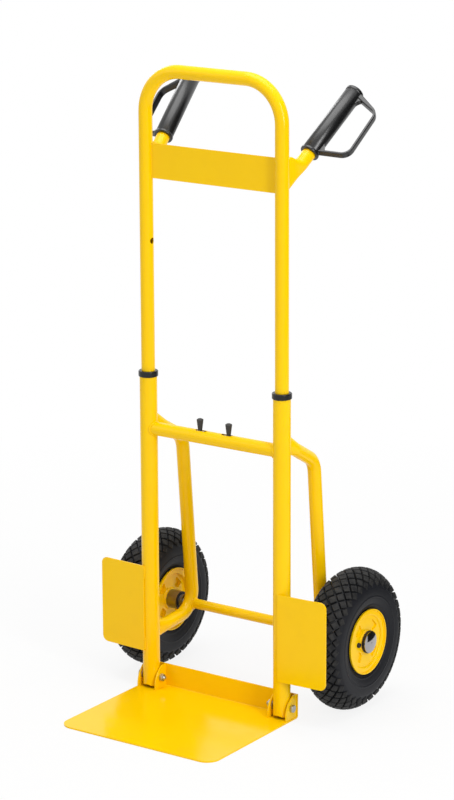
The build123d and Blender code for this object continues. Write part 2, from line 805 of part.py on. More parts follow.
def grip_plane(sign):
    """Plane of a grip and its knuckle bow: x is out to the bow, y is along the stub."""
    rise = radians(STUB_RISE)
    splay = radians(STUB_SPLAY)
    droop = radians(KNUCKLE_DROOP)
    stub = Vector(sign * sin(splay) * cos(rise), cos(splay) * cos(rise), sin(rise))
    level = Vector(sign * cos(splay), -sin(splay), 0)
    below = Vector(sign * sin(rise) * sin(splay), sin(rise) * cos(splay), -cos(rise))
    outwards = level * cos(droop) + below * sin(droop)
    return Plane(origin=(sign * STILE_X, 0, STUB_Z), x_dir=outwards, z_dir=outwards.cross(stub))


def make_grip_stub(sign):
    plane = grip_plane(sign)
    with BuildPart() as stub:
        with BuildSketch(Plane(origin=plane.origin, z_dir=plane.y_dir)):
            ring(HANDLE_OD, HANDLE_OD - 2 * TUBE_WALL)
        extrude(amount=STUB_LENGTH)
        with Locations((sign * STILE_X, 0, STUB_Z)):
            Cylinder(HANDLE_R, STUB_LENGTH, mode=Mode.SUBTRACT)
    return stub


def make_grip(sign):
    """Moulded sleeve with a flange, a cap and a flat bow that guards the knuckles."""
    plane = grip_plane(sign)
    root = GRIP_OD / 4
    high_root = GRIP_END - GRIP_LIP - GRIP_SHOULDER
    low_root = GRIP_START + GRIP_LIP
    sleeve_r = GRIP_OD / 2
    flange_r = GRIP_FLANGE_OD / 2
    cap_r = GRIP_CAP_OD / 2
    with BuildPart() as grip:
        with BuildSketch(plane):
            with BuildLine():
                FilletPolyline(
                    (root, high_root),
                    (KNUCKLE_REACH, KNUCKLE_HIGH),
                    (KNUCKLE_REACH, KNUCKLE_LOW),
                    (root, low_root),
                    radius=KNUCKLE_BEND,
                )
            trace(line_width=KNUCKLE_THICKNESS)
        extrude(amount=KNUCKLE_WIDTH / 2, both=True)
        flats = grip.faces().filter_by(Axis((0, 0, 0), plane.z_dir))
        fillet(flats.edges(), KNUCKLE_EDGE)
        # A gusset fills the corner between the sleeve and each arm of the bow
        with BuildSketch(plane):
            for start, bend, inwards in ((high_root, KNUCKLE_HIGH, -1), (low_root, KNUCKLE_LOW, 1)):
                arm, _ = along((root, start), (KNUCKLE_REACH, bend), GUSSET + sleeve_r - root)
                Polygon((root, start), (arm.X, arm.Y), (root, start + inwards * 2 * GUSSET), align=None)
        extrude(amount=GUSSET_THICKNESS / 2, both=True)
        with BuildSketch(plane):
            with BuildLine():
                Polyline(
                    (0, GRIP_START),
                    (flange_r, GRIP_START),
                    (flange_r, GRIP_START + GRIP_LIP),
                    (sleeve_r, GRIP_START + GRIP_LIP + GRIP_SHOULDER),
                    (sleeve_r, GRIP_END - 2 * GRIP_LIP - GRIP_SHOULDER),
                    (cap_r, GRIP_END - 2 * GRIP_LIP),
                    (cap_r, GRIP_END - GRIP_LIP),
                )
                TangentArc((0, GRIP_END), (cap_r, GRIP_END - GRIP_LIP), tangent=(1, 0))
                Line((0, GRIP_END), (0, GRIP_START))
            make_face()
        revolve(axis=Axis(plane.origin, plane.y_dir))
        with BuildSketch(Plane(origin=plane.origin, z_dir=plane.y_dir)):
            Circle(HANDLE_R + GRIP_FIT)
        extrude(amount=STUB_LENGTH + GRIP_END_GAP, mode=Mode.SUBTRACT)
    return grip


for side, sign in SIDES:
    save(make_grip_stub(sign), f"{side}_grip_stub")
    save(make_grip(sign), f"{side}_grip")


# Toe plate with its ears, which clasp the stile feet

with BuildPart() as toe_plate:
    with BuildSketch(Plane.YZ) as tray:
        with BuildLine():
            Polyline(
                (TOE_FRONT, 0),
                (FLANGE_BACK, 0),
                (FLANGE_BACK, FLANGE_TOP),
                (FLANGE_FACE, FLANGE_TOP),
                (FLANGE_FACE, TOE_THICKNESS),
                (TOE_FRONT, TOE_THICKNESS),
                (TOE_FRONT, 0),
            )
        make_face()
        fillet(tray.vertices().sort_by_distance((FLANGE_BACK, 0))[0], HEEL_BEND)
        fillet(tray.vertices().sort_by_distance((FLANGE_FACE, TOE_THICKNESS))[0], HEEL_BEND - TOE_THICKNESS)
    extrude(amount=TOE_HALF_WIDTH, both=True)
    fillet(toe_plate.edges().filter_by(Axis.Z).group_by(Axis.Y)[0], TOE_CORNER)
    for side, sign in SIDES:
        for ear_x in (sign * STILE_X - EAR_OUTER, sign * STILE_X + EAR_INNER):
            with BuildSketch(Plane.YZ.offset(ear_x)):
                with BuildLine():
                    Polyline(
                        (EAR_TOP_FRONT, FLANGE_TOP),
                        (EAR_ROOT, FLANGE_TOP),
                        (EAR_ROOT, HEEL_BEND),
                        (EAR_ROOT - HEEL_BEND, 0),
                        (-EAR_FRONT, 0),
                        (-EAR_FRONT, EAR_KNEE),
                    )
                    ThreePointArc((-EAR_FRONT, EAR_KNEE), EAR_BROW, (EAR_TOP_FRONT, FLANGE_TOP))
                make_face()
            extrude(amount=TOE_THICKNESS)
    with BuildSketch(Plane.YZ):
        with Locations((0, HINGE_Z)):
            Circle(HINGE_HOLE_D / 2)
    extrude(amount=STILE_SPACING, both=True, mode=Mode.SUBTRACT)
save(toe_plate, "toe_plate")


# Hinge bolts, nuts and washers

BOLT_SEAT = EAR_OUTER + HEAD_GAP

with BuildPart() as hinge_bolts:
    for side, sign in SIDES:
        with BuildSketch(Plane.YZ.offset(sign * (STILE_X + BOLT_SEAT))):
            with Locations((0, HINGE_Z)):
                RegularPolygon(BOLT_HEAD_AF / 2, 6, major_radius=False)
        extrude(amount=sign * BOLT_HEAD_HEIGHT)
        with BuildSketch(Plane.YZ.offset(sign * (STILE_X + BOLT_SEAT))):
            with Locations((0, HINGE_Z)):
                Circle(HINGE_BOLT_D / 2)
        extrude(amount=-sign * (2 * BOLT_SEAT + NUT_HEIGHT + BOLT_THREAD_END))
save(hinge_bolts, "hinge_bolts")

with BuildPart() as hinge_nuts:
    for side, sign in SIDES:
        with BuildSketch(Plane.YZ.offset(sign * (STILE_X - BOLT_SEAT))):
            with Locations((0, HINGE_Z)):
                RegularPolygon(BOLT_HEAD_AF / 2, 6, major_radius=False)
                Circle(HINGE_BOLT_D / 2, mode=Mode.SUBTRACT)
        extrude(amount=-sign * NUT_HEIGHT)
save(hinge_nuts, "hinge_nuts")

with BuildPart() as hinge_washers:
    for side, sign in SIDES:
        for face in (-1, 1):
            with BuildSketch(Plane.YZ.offset(sign * STILE_X + face * (STILE_R + SLIDE_CLEARANCE))):
                with Locations((0, HINGE_Z)):
                    ring(WASHER_OD, HINGE_BOLT_D)
            extrude(amount=face * (EAR_INNER - STILE_R - 3 * SLIDE_CLEARANCE))
save(hinge_washers, "hinge_washers")
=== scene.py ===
"""Hand truck: paint, grips, tread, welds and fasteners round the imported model, with floor, light and camera.

Sizes are in millimetres, in the model's own frame, and become metres where a mesh is made.
The studio and the camera are placed in metres.
"""

import json
from math import atan2, copysign, cos, hypot, pi, radians, sin, sqrt, tan, tau

import bmesh
import bpy
from mathutils import Matrix, Vector


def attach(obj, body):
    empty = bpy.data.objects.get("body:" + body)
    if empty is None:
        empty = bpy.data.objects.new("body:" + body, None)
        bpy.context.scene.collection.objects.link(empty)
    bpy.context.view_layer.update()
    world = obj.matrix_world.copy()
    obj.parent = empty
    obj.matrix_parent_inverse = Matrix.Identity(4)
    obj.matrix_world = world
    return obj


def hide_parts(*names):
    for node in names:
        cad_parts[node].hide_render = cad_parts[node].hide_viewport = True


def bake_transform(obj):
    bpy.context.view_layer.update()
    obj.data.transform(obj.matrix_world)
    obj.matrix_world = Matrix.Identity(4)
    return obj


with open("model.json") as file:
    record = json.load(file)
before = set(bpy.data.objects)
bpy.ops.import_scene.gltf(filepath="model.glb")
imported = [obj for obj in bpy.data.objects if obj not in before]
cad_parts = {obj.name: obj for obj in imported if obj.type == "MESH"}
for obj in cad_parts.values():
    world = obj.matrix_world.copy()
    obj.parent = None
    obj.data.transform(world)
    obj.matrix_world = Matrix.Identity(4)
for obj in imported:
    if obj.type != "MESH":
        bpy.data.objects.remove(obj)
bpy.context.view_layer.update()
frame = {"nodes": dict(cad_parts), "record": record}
nodes = frame["nodes"]

SIDES = (("left", -1), ("right", 1))
MM = 0.001

# Angles in degrees past which an edge is shaded as a crease
CREASE = 35.0
WELD_CREASE = 70.0
STUB_CREASE = 50.0
GRIP_CREASE = 40.0
TYRE_CREASE = 28.0
SPRING_CREASE = 40.0
HEX_CREASE = 25.0

# Camera, found from the photograph's straight lines
VIEW_TURN = 34.781
VIEW_DROP = 14.861
VIEW_ROLL = -0.255
VIEW_PLACE = (2.94588, -4.20134, 1.93850)
VIEW_LENS = 133.198
VIEW_SENSOR = 36.0
VIEW_FAR = 60.0

# Studio: softboxes as (place, aim, width, height, watts), black cards as (near, far, low, high)
SOFTBOXES = {
    "overhead_softbox": ((0.1, -0.05, 3.4), (0.1, -0.05, 0.0), 2.6, 2.0, 58.0),
    "left_softbox": ((-2.6, -2.4, 2.2), (0.0, 0.0, 0.6), 1.4, 2.0, 10.0),
    "rim_softbox": ((-2.4, 1.8, 1.9), (0.0, 0.1, 1.0), 0.7, 1.2, 10.0),
    "right_softbox": ((3.2, -1.2, 1.9), (0.0, 0.0, 0.6), 0.55, 2.2, 56.0),
}
DARK_FLAGS = {
    "wheel_flag": ((0.62, 0.40), (0.28, 0.85), 0.0, 0.4),
    "side_flag": ((1.6, -0.35), (1.2, 2.0), 0.3, 2.2),
}
WHITE = (1.0, 1.0, 1.0, 1.0)
FILL_LIGHT = 0.52
FLOOR_HALF = 40.0
FLOOR_GLOW = 0.86

# Tubes
STILE_X = 146.0
STILE_R = 16.0
LEG_R = 12.5
CROSSBAR_Z = 504.0
CROSSBAR_R = 12.5
BOW_R = 12.5
BOW_HIGH = (104.0, 463.0)
BOW_LOW = (134.5, 118.0)
BOW_TOP = (0.0, 522.0)
BOW_FOOT = (0.0, 109.0)
BOW_BEND_R = 42.0
BOW_FLAT = 4.5
BOW_TALL = 18.0
BOW_FLAT_START = 6.0
BOW_FLAT_END = 48.0

# Sheet metal
PLATE_LOW = 967.5
PLATE_HIGH = 1030.5
GUARD_LOW = 77.0
GUARD_HIGH = 242.0
GUARD_EDGE_X = 148.5
EDGE_ROUND = 0.7
EDGE_ANGLE = 40.0
EDGE_SEGMENTS = 3
SAME_POINT = 1e-5

# Weld beads: how they are rippled, and how far they stand off the seams that they follow
WELD_SIDES = 8
WELD_PITCH = 0.6
SEAM_STEPS = 360
SEAM_ROUNDS = 12
SEAM_HALVINGS = 30
RIPPLE_STEPS = 4
RIPPLE_SHARE = 0.10
TAPER_STEP = 0.25
SEAM_LIFT = 0.4
CROSSBAR_SEAM_LIFT = 0.5
STUB_SEAM_LIFT = 0.3
STUB_SEAM_RANGE = (-20.0, 60.0)
STILE_BEAD_R = 1.7
STUB_BEAD_R = 1.6
AXLE_BEAD_R = 1.5
GUARD_BEAD_R = 1.5
GUARD_BEAD_LONG = 25.0
GUARD_BEAD_GAP = 0.6
GUARD_BEAD_LIFT = 0.5
PLATE_BEAD_R = 0.9
PLATE_BEAD_GAP = 0.1
PLATE_BEAD_Y = 1.4
WELD_INSET = 1.0

# Grip stubs, pressed flat where they meet the legs
STUB_Z = 976.0
STUB_RISE = 38.0
STUB_SPLAY = 9.2
STUB_END = 100.0
STUB_ROUND = 64.0
STUB_SIDES = 48
STUB_STEPS = 14
PRESSED_CREST = 49.0
PRESSED_TOP = 30.0
PRESSED_FOOT = -12.5
PRESSED_HALF = 4.0
PRESSED_LEAN = 0.5
PRESSED_INSET = 6.0
PRESSED_SQUARE = 3.0

# Grips, measured along the stub and out to the bow over the knuckles
GRIP_START = 87.0
GRIP_END = 243.0
GRIP_R = 16.4
GRIP_SIDES = 64
FLANGE_R = 17.6
FLANGE_WIDE = 6.0
GRIP_CAP_R = 17.0
GRIP_CAP_LONG = 8.5
CENTRE_R = 0.6
KNUCKLE_DROOP = 18.5
KNUCKLE_ROUTE = ((8.0, 235.0), (61.5, 213.0), (66.0, 112.0), (8.0, 95.0))
KNUCKLE_BEND = 19.0
KNUCKLE_BEND_STEPS = 10
KNUCKLE_WIDE = 13.0
KNUCKLE_THICK = 4.8
KNUCKLE_ROOT = 11.5
KNUCKLE_SQUARE = 5.0
KNUCKLE_SIDES = 28
GUSSET = 13.0
GUSSET_LONG = 20.8
GUSSET_HALF = 5.0
GUSSET_SUNK = 1.0
GUSSET_HOLLOW = 0.35
GUSSET_STEPS = 4

# Turned edges of the grips, each as (length, radius) from a station and its full radius
FLANGE_FRONT = ((0.0, -1.2), (0.9, -0.3), (1.8, 0.0))
FLANGE_BACK = ((-1.4, 0.0), (-0.6, -0.6))
FLANGE_GROOVE = ((0.0, -0.6), (0.9, -0.6), (1.8, 0.0))
CAP_GROOVE = ((-2.0, 0.0), (-1.1, -0.6), (-0.3, -0.6))
CAP_EDGE = ((0.4, -0.4), (1.2, 0.0))
CAP_DOME = ((-3.6, 0.0), (-2.2, -0.5), (-1.0, -2.0), (-0.3, -4.2), (0.0, -7.0))

# Wheels
WHEEL_X = 217.0
WHEEL_Y = 124.5
WHEEL_R = 132.0
AXLE_TUBE_R = 9.5
CROWN_R = 43.0
SHOULDER_LEAN = 52.0
WIDEST = (38.5, 90.0)
SIDE_FOOT = (30.5, 61.5)
SIDE_STEPS = 34
BEAD_R = 51.0
BEAD_INNER = 23.5
BEAD_CHAMFER = 1.0
LINER_R = 31.8
LINER_CENTRE_R = 89.0
LINER_STEPS = 8

# Rings raised on the sidewalls, as (radius, half width, height)
SIDE_RIDGES = ((84.0, 1.4, 0.7), (68.5, 1.6, 0.8))

# Valve caps, as (distance past the tip of the stem, radius, whether fluted)
VALVE_R = 26.5
VALVE_TIP = 34.0
VALVE_FLUTES = 14
FLUTE_DEPTH = 0.22
VALVE_CAP = (
    (-9.0, 4.1, False),
    (-9.0, 4.7, False),
    (-7.6, 4.8, False),
    (-7.2, 4.6, True),
    (-1.2, 4.4, True),
    (-0.6, 4.0, False),
    (0.3, 3.4, False),
    (0.6, 2.0, False),
)
VALVE_SIDES = 84

# Tread: a lattice of blocks that stand on a point
TREAD_PITCHES = 36
TREAD_STEP = 11.0
TREAD_ROWS = 4
TREAD_DEPTH = 5.0
TREAD_WEAR = 0.1
TREAD_FADE = (38.0, 55.0)
TREAD_LINES = (-1.0, -0.86, -0.77, -0.73, 0.0, 0.73, 0.77, 0.86, 1.0)
TREAD_RISE = {1.0: 0.0, 0.86: 0.0, 0.77: 0.90, 0.73: 1.0, 0.0: 1.0}
TURN_UNITS = 4 * TREAD_PITCHES
LATTICE_FINE = 1e4

# Latch springs, between the stop in the middle of the crossbar and the heads of the pins
SPRING_START = 4.0
SPRING_END = 22.4
SPRING_R = 8.2
SPRING_WIRE = 0.8
SPRING_TURNS = 4.5
SPRING_STEPS = 150
SPRING_SIDES = 10

# Hinge bolts and nuts
HINGE_Z = 24.0
BOLT_SEAT = 21.3
BOLT_R = 4.0
HEX_FLATS = 13.0
HEX_END_R = 6.15
HEX_SIDES = 72
HEAD_HEIGHT = 5.3
HEAD_CHAMFER = 1.1
HEAD_CONE = 1.5
HEAD_STEPS = 8
WASHER_FACE = 0.4
WASHER_INSET = 0.3
DISH_DEPTH = 0.15
DISH_RIM_R = 5.6
DISH_R = 5.2
SHANK_SUNK = 0.05
SHANK_SIDES = 36
THREAD_LONG = 22.0
THREAD_END = 4.0
THREAD_PITCH = 1.25
THREAD_DEPTH = 0.62
THREAD_STEPS = 120
THREAD_TIP = 0.8
THREAD_TIP_INSET = 1.0
NUT_HEIGHT = 6.5
NUT_CLEAR = 0.05
NUT_CONE = 1.6
NUT_SEAT_R = 5.9
NUT_FOOT = 0.5
NUT_FOOT_STEPS = 4
NUT_FLATS = (0.9, 1.1)
NUT_CHAMFER = 0.9
NUT_STEPS = 6
NUT_MOUTH_R = 5.0
NUT_MOUTH = 0.7


# Materials


def screen(red, green, blue):
    """Colour as it is seen on a screen, 0 to 255."""
    shades = (value / 255 for value in (red, green, blue))
    return (*(s / 12.92 if s <= 0.04045 else ((s + 0.055) / 1.055) ** 2.4 for s in shades), 1.0)


class Tone:
    """A value that varies over a surface. Arithmetic on it adds Math nodes."""

    def __init__(self, finish, socket):
        self.finish = finish
        self.socket = socket

    def maths(self, operation, first, second):
        return self.finish.node("ShaderNodeMath", {"operation": operation}, {0: first, 1: second})

    def __add__(self, other):
        return self.maths("ADD", self, other)

    def __radd__(self, other):
        return self.maths("ADD", other, self)

    def __mul__(self, other):
        return self.maths("MULTIPLY", self, other)

    def __rmul__(self, other):
        return self.maths("MULTIPLY", other, self)


class Shading:
    """A node tree that nodes are added to."""

    def __init__(self, tree):
        self.tree = tree

    def feed(self, socket, value):
        """Links a tone to a socket, or sets a plain value on it."""
        if isinstance(value, Tone):
            self.tree.links.new(value.socket, socket)
        else:
            socket.default_value = value

    def node(self, kind, settings=None, sockets=None, output=0):
        """New node with its settings and inputs, as the tone that one of its outputs gives."""
        made = self.tree.nodes.new(kind)
        for name, value in (settings or {}).items():
            if name == "stops":
                elements = made.color_ramp.elements
                while len(elements) < len(value):
                    elements.new(1.0)
                for element, (position, shade) in zip(elements, value):
                    element.position = position
                    element.color = (shade, shade, shade, 1.0)
            else:
                setattr(made, name, value)
        for name, value in (sockets or {}).items():
            self.feed(made.inputs[name], value)
        return Tone(self, made.outputs[output])

    def shown(self):
        """1 where the eye meets the surface itself, in a reflection or through glass, else 0."""
        rays = (f"Is {kind} Ray" for kind in ("Camera", "Glossy", "Transmission"))
        direct, mirrored, through = (self.node("ShaderNodeLightPath", output=ray) for ray in rays)
        return direct + mirrored + through


class Finish(Shading):
    """One procedural material round a Principled shader."""

    def __init__(self, name):
        self.material = bpy.data.materials.new(name)
        self.material.use_nodes = True
        super().__init__(self.material.node_tree)
        self.shader = self.tree.nodes["Principled BSDF"]
        self.place = self.node("ShaderNodeTexCoord", output="Object")

    def noise(self, scale, detail=2.0, where=None):
        sockets = {"Vector": where or self.place, "Scale": scale, "Detail": detail}
        return self.node("ShaderNodeTexNoise", {}, sockets)

    def stretched(self, scale):
        """Places drawn out along the axes that have the smaller scales."""
        return self.node("ShaderNodeMapping", {}, {"Vector": self.place, "Scale": scale})

    def ramp(self, tone, *stops):
        return self.node("ShaderNodeValToRGB", {"stops": stops}, {"Fac": tone})

    def blend(self, tone, first, second):
        return self.node("ShaderNodeMix", {"data_type": "RGBA"}, {0: tone, 6: first, 7: second}, 2)

    def surface(self, **sockets):
        for name, value in sockets.items():
            self.feed(self.shader.inputs[name.replace("_", " ").title()], value)

    def bump(self, height, depth_mm, strength=1.0):
        sockets = {"Strength": strength, "Distance": depth_mm * MM, "Height": height}
        self.surface(normal=self.node("ShaderNodeBump", {}, sockets))


def yellow_paint():
    """Powder coat: slow drift of tone, faint orange peel, a few duller rubbed places."""
    finish = Finish("yellow_paint")
    drift = finish.noise(4.0, 3.0)
    peel = finish.noise(420.0, 2.0)
    grit = finish.noise(1900.0, 1.0)
    rubbed = finish.ramp(finish.noise(38.0, 6.0), (0.50, 0.0), (0.78, 1.0))
    coat = finish.blend(drift, screen(250, 197, 0), screen(255, 211, 0))
    dulled = finish.blend(rubbed * 0.30, coat, screen(244, 194, 10))
    finish.surface(base_color=dulled, roughness=0.15 + 0.03 * drift + 0.10 * rubbed)
    finish.shader.inputs["Specular IOR Level"].default_value = 0.20
    finish.bump(peel + 0.35 * grit, 0.03, 0.2)
    return finish.material


def black_plastic():
    """Moulded sleeve plastic: satin, with a fine spark-eroded grain and handled patches."""
    finish = Finish("black_plastic")
    grain = finish.noise(2400.0, 2.0)
    to_edge = {"feature": "DISTANCE_TO_EDGE"}
    cells = finish.node("ShaderNodeTexVoronoi", to_edge, {"Vector": finish.place, "Scale": 900.0})
    handled = finish.noise(26.0, 4.0)
    shade = finish.blend(handled, screen(13, 13, 14), screen(21, 21, 22))
    finish.surface(base_color=shade, roughness=0.24 + 0.08 * handled + 0.03 * grain)
    finish.shader.inputs["Specular IOR Level"].default_value = 0.60
    finish.bump(grain * 0.6 + cells * 0.8, 0.03, 0.25)
    return finish.material


def gloss_plastic():
    """Moulded collar plastic: smoother than the grips, with faint sliding marks."""
    finish = Finish("gloss_plastic")
    marks = finish.noise(1.0, 3.0, finish.stretched((900.0, 900.0, 40.0)))
    cloud = finish.noise(60.0, 3.0)
    shade = finish.blend(cloud, screen(15, 15, 16), screen(25, 25, 26))
    finish.surface(base_color=shade, roughness=0.18 + 0.16 * marks)
    finish.shader.inputs["Specular IOR Level"].default_value = 0.35
    finish.bump(marks, 0.03, 0.3)
    return finish.material


def lever_plastic():
    """Latch levers: matt dark plastic with a dusty grain."""
    finish = Finish("lever_plastic")
    grain = finish.noise(1600.0, 3.0)
    dust = finish.noise(110.0, 4.0)
    shade = finish.blend(dust, screen(33, 32, 32), screen(58, 56, 54))
    finish.surface(base_color=shade, roughness=0.52 + 0.2 * dust)
    finish.bump(grain, 0.08, 0.4)
    return finish.material


def bush_plastic():
    """Guide bushes and spring stop: plain dark moulding."""
    finish = Finish("bush_plastic")
    cloud = finish.noise(70.0, 4.0)
    shade = finish.blend(cloud, screen(74, 74, 75), screen(86, 86, 87))
    finish.surface(base_color=shade, roughness=0.38 + 0.14 * cloud)
    finish.bump(finish.noise(1200.0, 2.0), 0.04, 0.3)
    return finish.material


def tyre_rubber():
    """Tyre: blue-black sides with moulding rings, block tops a lighter, warmer grey than the grooves and sides.
    """
    finish = Finish("tyre_rubber")
    top = finish.node("ShaderNodeAttribute", {"attribute_name": "tread_top"}, {}, "Fac")
    spread = finish.node(
        "ShaderNodeVectorMath",
        {"operation": "MULTIPLY_ADD"},
        {0: finish.place, 1: (0.0, 1.0, 1.0), 2: (0.0, -WHEEL_Y * MM, -WHEEL_R * MM)},
    )
    radius = finish.node("ShaderNodeVectorMath", {"operation": "LENGTH"}, {0: spread}, "Value")
    rings = finish.node("ShaderNodeMath", {"operation": "SINE"}, {0: radius * 2600.0})
    cloud = finish.noise(34.0, 5.0)
    scuffed = finish.ramp(finish.noise(95.0, 3.0), (0.38, 0.0), (0.62, 1.0))
    grain = finish.noise(1500.0, 3.0)
    side = finish.blend(cloud, screen(20, 21, 25), screen(29, 30, 35))
    top_grey = finish.blend(scuffed, screen(25, 25, 25), screen(50, 49, 47))
    # Block tops turn a lighter, warmer grey by how far each point stands up a block; the grooves keep the side
    # colour
    finish.surface(base_color=finish.blend(top * (0.5 + 0.5 * cloud), side, top_grey))
    finish.surface(roughness=0.42 + 0.14 * cloud + 0.14 * top)
    finish.shader.inputs["Specular IOR Level"].default_value = 0.20
    finish.bump(grain + 0.22 * rings, 0.10, 0.4)
    return finish.material


def tube_rubber():
    """Inner tube, valve stem and seals: soft black rubber."""
    finish = Finish("tube_rubber")
    bloom = finish.noise(80.0, 4.0)
    shade = finish.blend(bloom, screen(17, 17, 18), screen(30, 30, 31))
    finish.surface(base_color=shade, roughness=0.45 + 0.2 * bloom)
    finish.bump(finish.noise(1300.0, 2.0), 0.05, 0.4)
    return finish.material


def bright_cap():
    """Hub caps: bright nickel with faint wiping marks."""
    finish = Finish("bright_cap")
    wipe = finish.noise(190.0, 5.0)
    haze = finish.noise(28.0, 2.0)
    shade = finish.blend(haze, screen(158, 155, 155), screen(176, 173, 172))
    finish.surface(base_color=shade, roughness=0.06 + 0.05 * wipe)
    finish.shader.inputs["Metallic"].default_value = 1.0
    finish.bump(wipe, 0.01, 0.2)
    return finish.material


def zinc():
    """Bolts, nuts and washers: zinc plate with a cloudy passivation."""
    finish = Finish("zinc")
    spangle = finish.node("ShaderNodeTexVoronoi", {}, {"Vector": finish.place, "Scale": 620.0})
    cloud = finish.noise(150.0, 4.0)
    shade = finish.blend(cloud, screen(158, 157, 152), screen(196, 196, 192))
    finish.surface(base_color=shade, roughness=0.26 + 0.18 * cloud + 0.04 * spangle)
    finish.shader.inputs["Metallic"].default_value = 1.0
    finish.bump(spangle, 0.02, 0.3)
    return finish.material


def plain_steel():
    """Axle, spacers, pins, springs and bearings: turned steel with a thin oil film."""
    finish = Finish("plain_steel")
    lathe_marks = finish.noise(1.0, 2.0, finish.stretched((2600.0, 90.0, 90.0)))
    oil = finish.noise(46.0, 4.0)
    shade = finish.blend(oil, screen(128, 127, 124), screen(168, 167, 164))
    finish.surface(base_color=shade, roughness=0.28 + 0.16 * lathe_marks)
    finish.shader.inputs["Metallic"].default_value = 1.0
    finish.bump(lathe_marks, 0.02, 0.35)
    return finish.material


FINISHES = {
    "yellow_paint": yellow_paint(),
    "black_plastic": black_plastic(),
    "gloss_plastic": gloss_plastic(),
    "lever_plastic": lever_plastic(),
    "bush_plastic": bush_plastic(),
    "tyre_rubber": tyre_rubber(),
    "tube_rubber": tube_rubber(),
    "bright_cap": bright_cap(),
    "zinc": zinc(),
    "plain_steel": plain_steel(),
}

# The frame's own pieces take the finish of their slot, the collars the glossier plastic
for entry in frame["record"]["subparts"]:
    name = entry["node"]
    slot_finish = "gloss_plastic" if name.endswith("collar") else entry["material_slot"]
    nodes[name].data.materials.clear()
    nodes[name].data.materials.append(FINISHES[slot_finish])


def soften(name, radius):
    """Rounds the sharp edges of a sheet-metal node as its paint does."""
    joined = nodes[name].modifiers.new("joined_edges", "WELD")
    joined.merge_threshold = SAME_POINT
    rounded = nodes[name].modifiers.new("round_edges", "BEVEL")
    rounded.width = radius * MM
    rounded.segments = EDGE_SEGMENTS
    rounded.limit_method = "ANGLE"
    rounded.angle_limit = radians(EDGE_ANGLE)
    rounded.harden_normals = True


for name in ("left_wheel_guard", "right_wheel_guard", "name_plate", "toe_plate"):
    soften(name, EDGE_ROUND)


# Pieces


def place_object(name, data):
    """New object in the scene."""
    made = bpy.data.objects.new(name, data)
    bpy.context.scene.collection.objects.link(made)
    return made


def add_piece(name, body, slot, points, faces, crease=CREASE, stands_for=()):
    """Mesh from points in millimetres, riding on a body if one is named."""
    mesh = bpy.data.meshes.new(name)
    mesh.from_pydata([Vector(point) * MM for point in points], [], faces)
    shell = bmesh.new()
    shell.from_mesh(mesh)
    bmesh.ops.recalc_face_normals(shell, faces=shell.faces)
    shell.to_mesh(mesh)
    shell.free()
    mesh.shade_smooth()
    mesh.set_sharp_from_angle(angle=radians(crease))
    mesh.materials.append(FINISHES[slot])
    piece = place_object(name, mesh)
    if body:
        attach(piece, body)
    for node in stands_for:
        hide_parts(node)
    return piece


def join(*parts):
    """Several (points, faces) as one."""
    points, faces = [], []
    for more_points, more_faces in parts:
        start = len(points)
        points += more_points
        faces += [[start + index for index in face] for face in more_faces]
    return points, faces


def loft(rings, closed=False):
    """Skin over rings of equal count; open ends are capped."""
    count = len(rings[0])
    points = [point for ring in rings for point in ring]
    faces = []
    spans = len(rings) if closed else len(rings) - 1
    for level in range(spans):
        low = level * count
        high = (level + 1) % len(rings) * count
        for step in range(count):
            after = (step + 1) % count
            faces.append([low + step, low + after, high + after, high + step])
    if not closed:
        faces.append(list(range(count))[::-1])
        faces.append(list(range(len(points) - count, len(points))))
    return points, faces


def angles_round(count):
    """Even steps round a full turn."""
    return [tau * step / count for step in range(count)]


def plain(radius):
    """The same radius at every angle."""
    return lambda angle: radius


def turned(sections, centre, sign, count):
    """Rings about the X axis through centre; each section is (distance outwards, radius at an angle)."""
    x, y, z = centre
    rings = []
    for out, radius in sections:
        rings.append(
            [(x + sign * out, y + radius(a) * cos(a), z + radius(a) * sin(a)) for a in angles_round(count)]
        )
    return rings


# Weld beads


def bead(path, radius, closed=True):
    """Rippled bead along a path; an open one tapers at its ends."""
    rings = []
    last = len(path) - 1
    aside = None
    for step, point in enumerate(path):
        ahead = path[(step + 1) % len(path)] if closed else path[min(step + 1, last)]
        behind = path[step - 1] if closed else path[max(step - 1, 0)]
        run = (ahead - behind).normalized()
        aside = run.orthogonal() if aside is None else aside - run * aside.dot(run)
        aside.normalize()
        rise = run.cross(aside)
        swell = radius * (1.0 + RIPPLE_SHARE * cos(tau * step / RIPPLE_STEPS))
        if not closed:
            swell *= min(1.0, TAPER_STEP * (1 + min(step, last - step)))
        rings.append([point + swell * (aside * cos(a) + rise * sin(a)) for a in angles_round(WELD_SIDES)])
    return loft(rings, closed)


def even(curve):
    """Points at an even pitch along a closed curve given as a function of an angle."""
    rough = [Vector(curve(angle)) for angle in angles_round(SEAM_STEPS)]
    onward = rough[1:] + rough[:1]
    length = sum((there - here).length for here, there in zip(rough, onward))
    wanted = RIPPLE_STEPS * round(length / WELD_PITCH / RIPPLE_STEPS)
    path, travelled, due = [], 0.0, 0.0
    for here, there in zip(rough, onward):
        leg = (there - here).length
        while due < travelled + leg and len(path) < wanted:
            path.append(here.lerp(there, (due - travelled) / leg))
            due += length / wanted
        travelled += leg
    return path


def straight(start, end):
    """Points at an even pitch from start to end."""
    start, end = Vector(start), Vector(end)
    count = round((end - start).length / WELD_PITCH)
    return [start.lerp(end, step / count) for step in range(count + 1)]


def crossbar_seam(sign):
    """Where the crossbar runs into the inner side of a stile."""
    around = CROSSBAR_R + CROSSBAR_SEAM_LIFT

    def curve(angle):
        y = around * cos(angle)
        inwards = sqrt((STILE_R + SEAM_LIFT) ** 2 - y * y)
        return sign * (STILE_X - inwards), y, CROSSBAR_Z + around * sin(angle)

    return curve


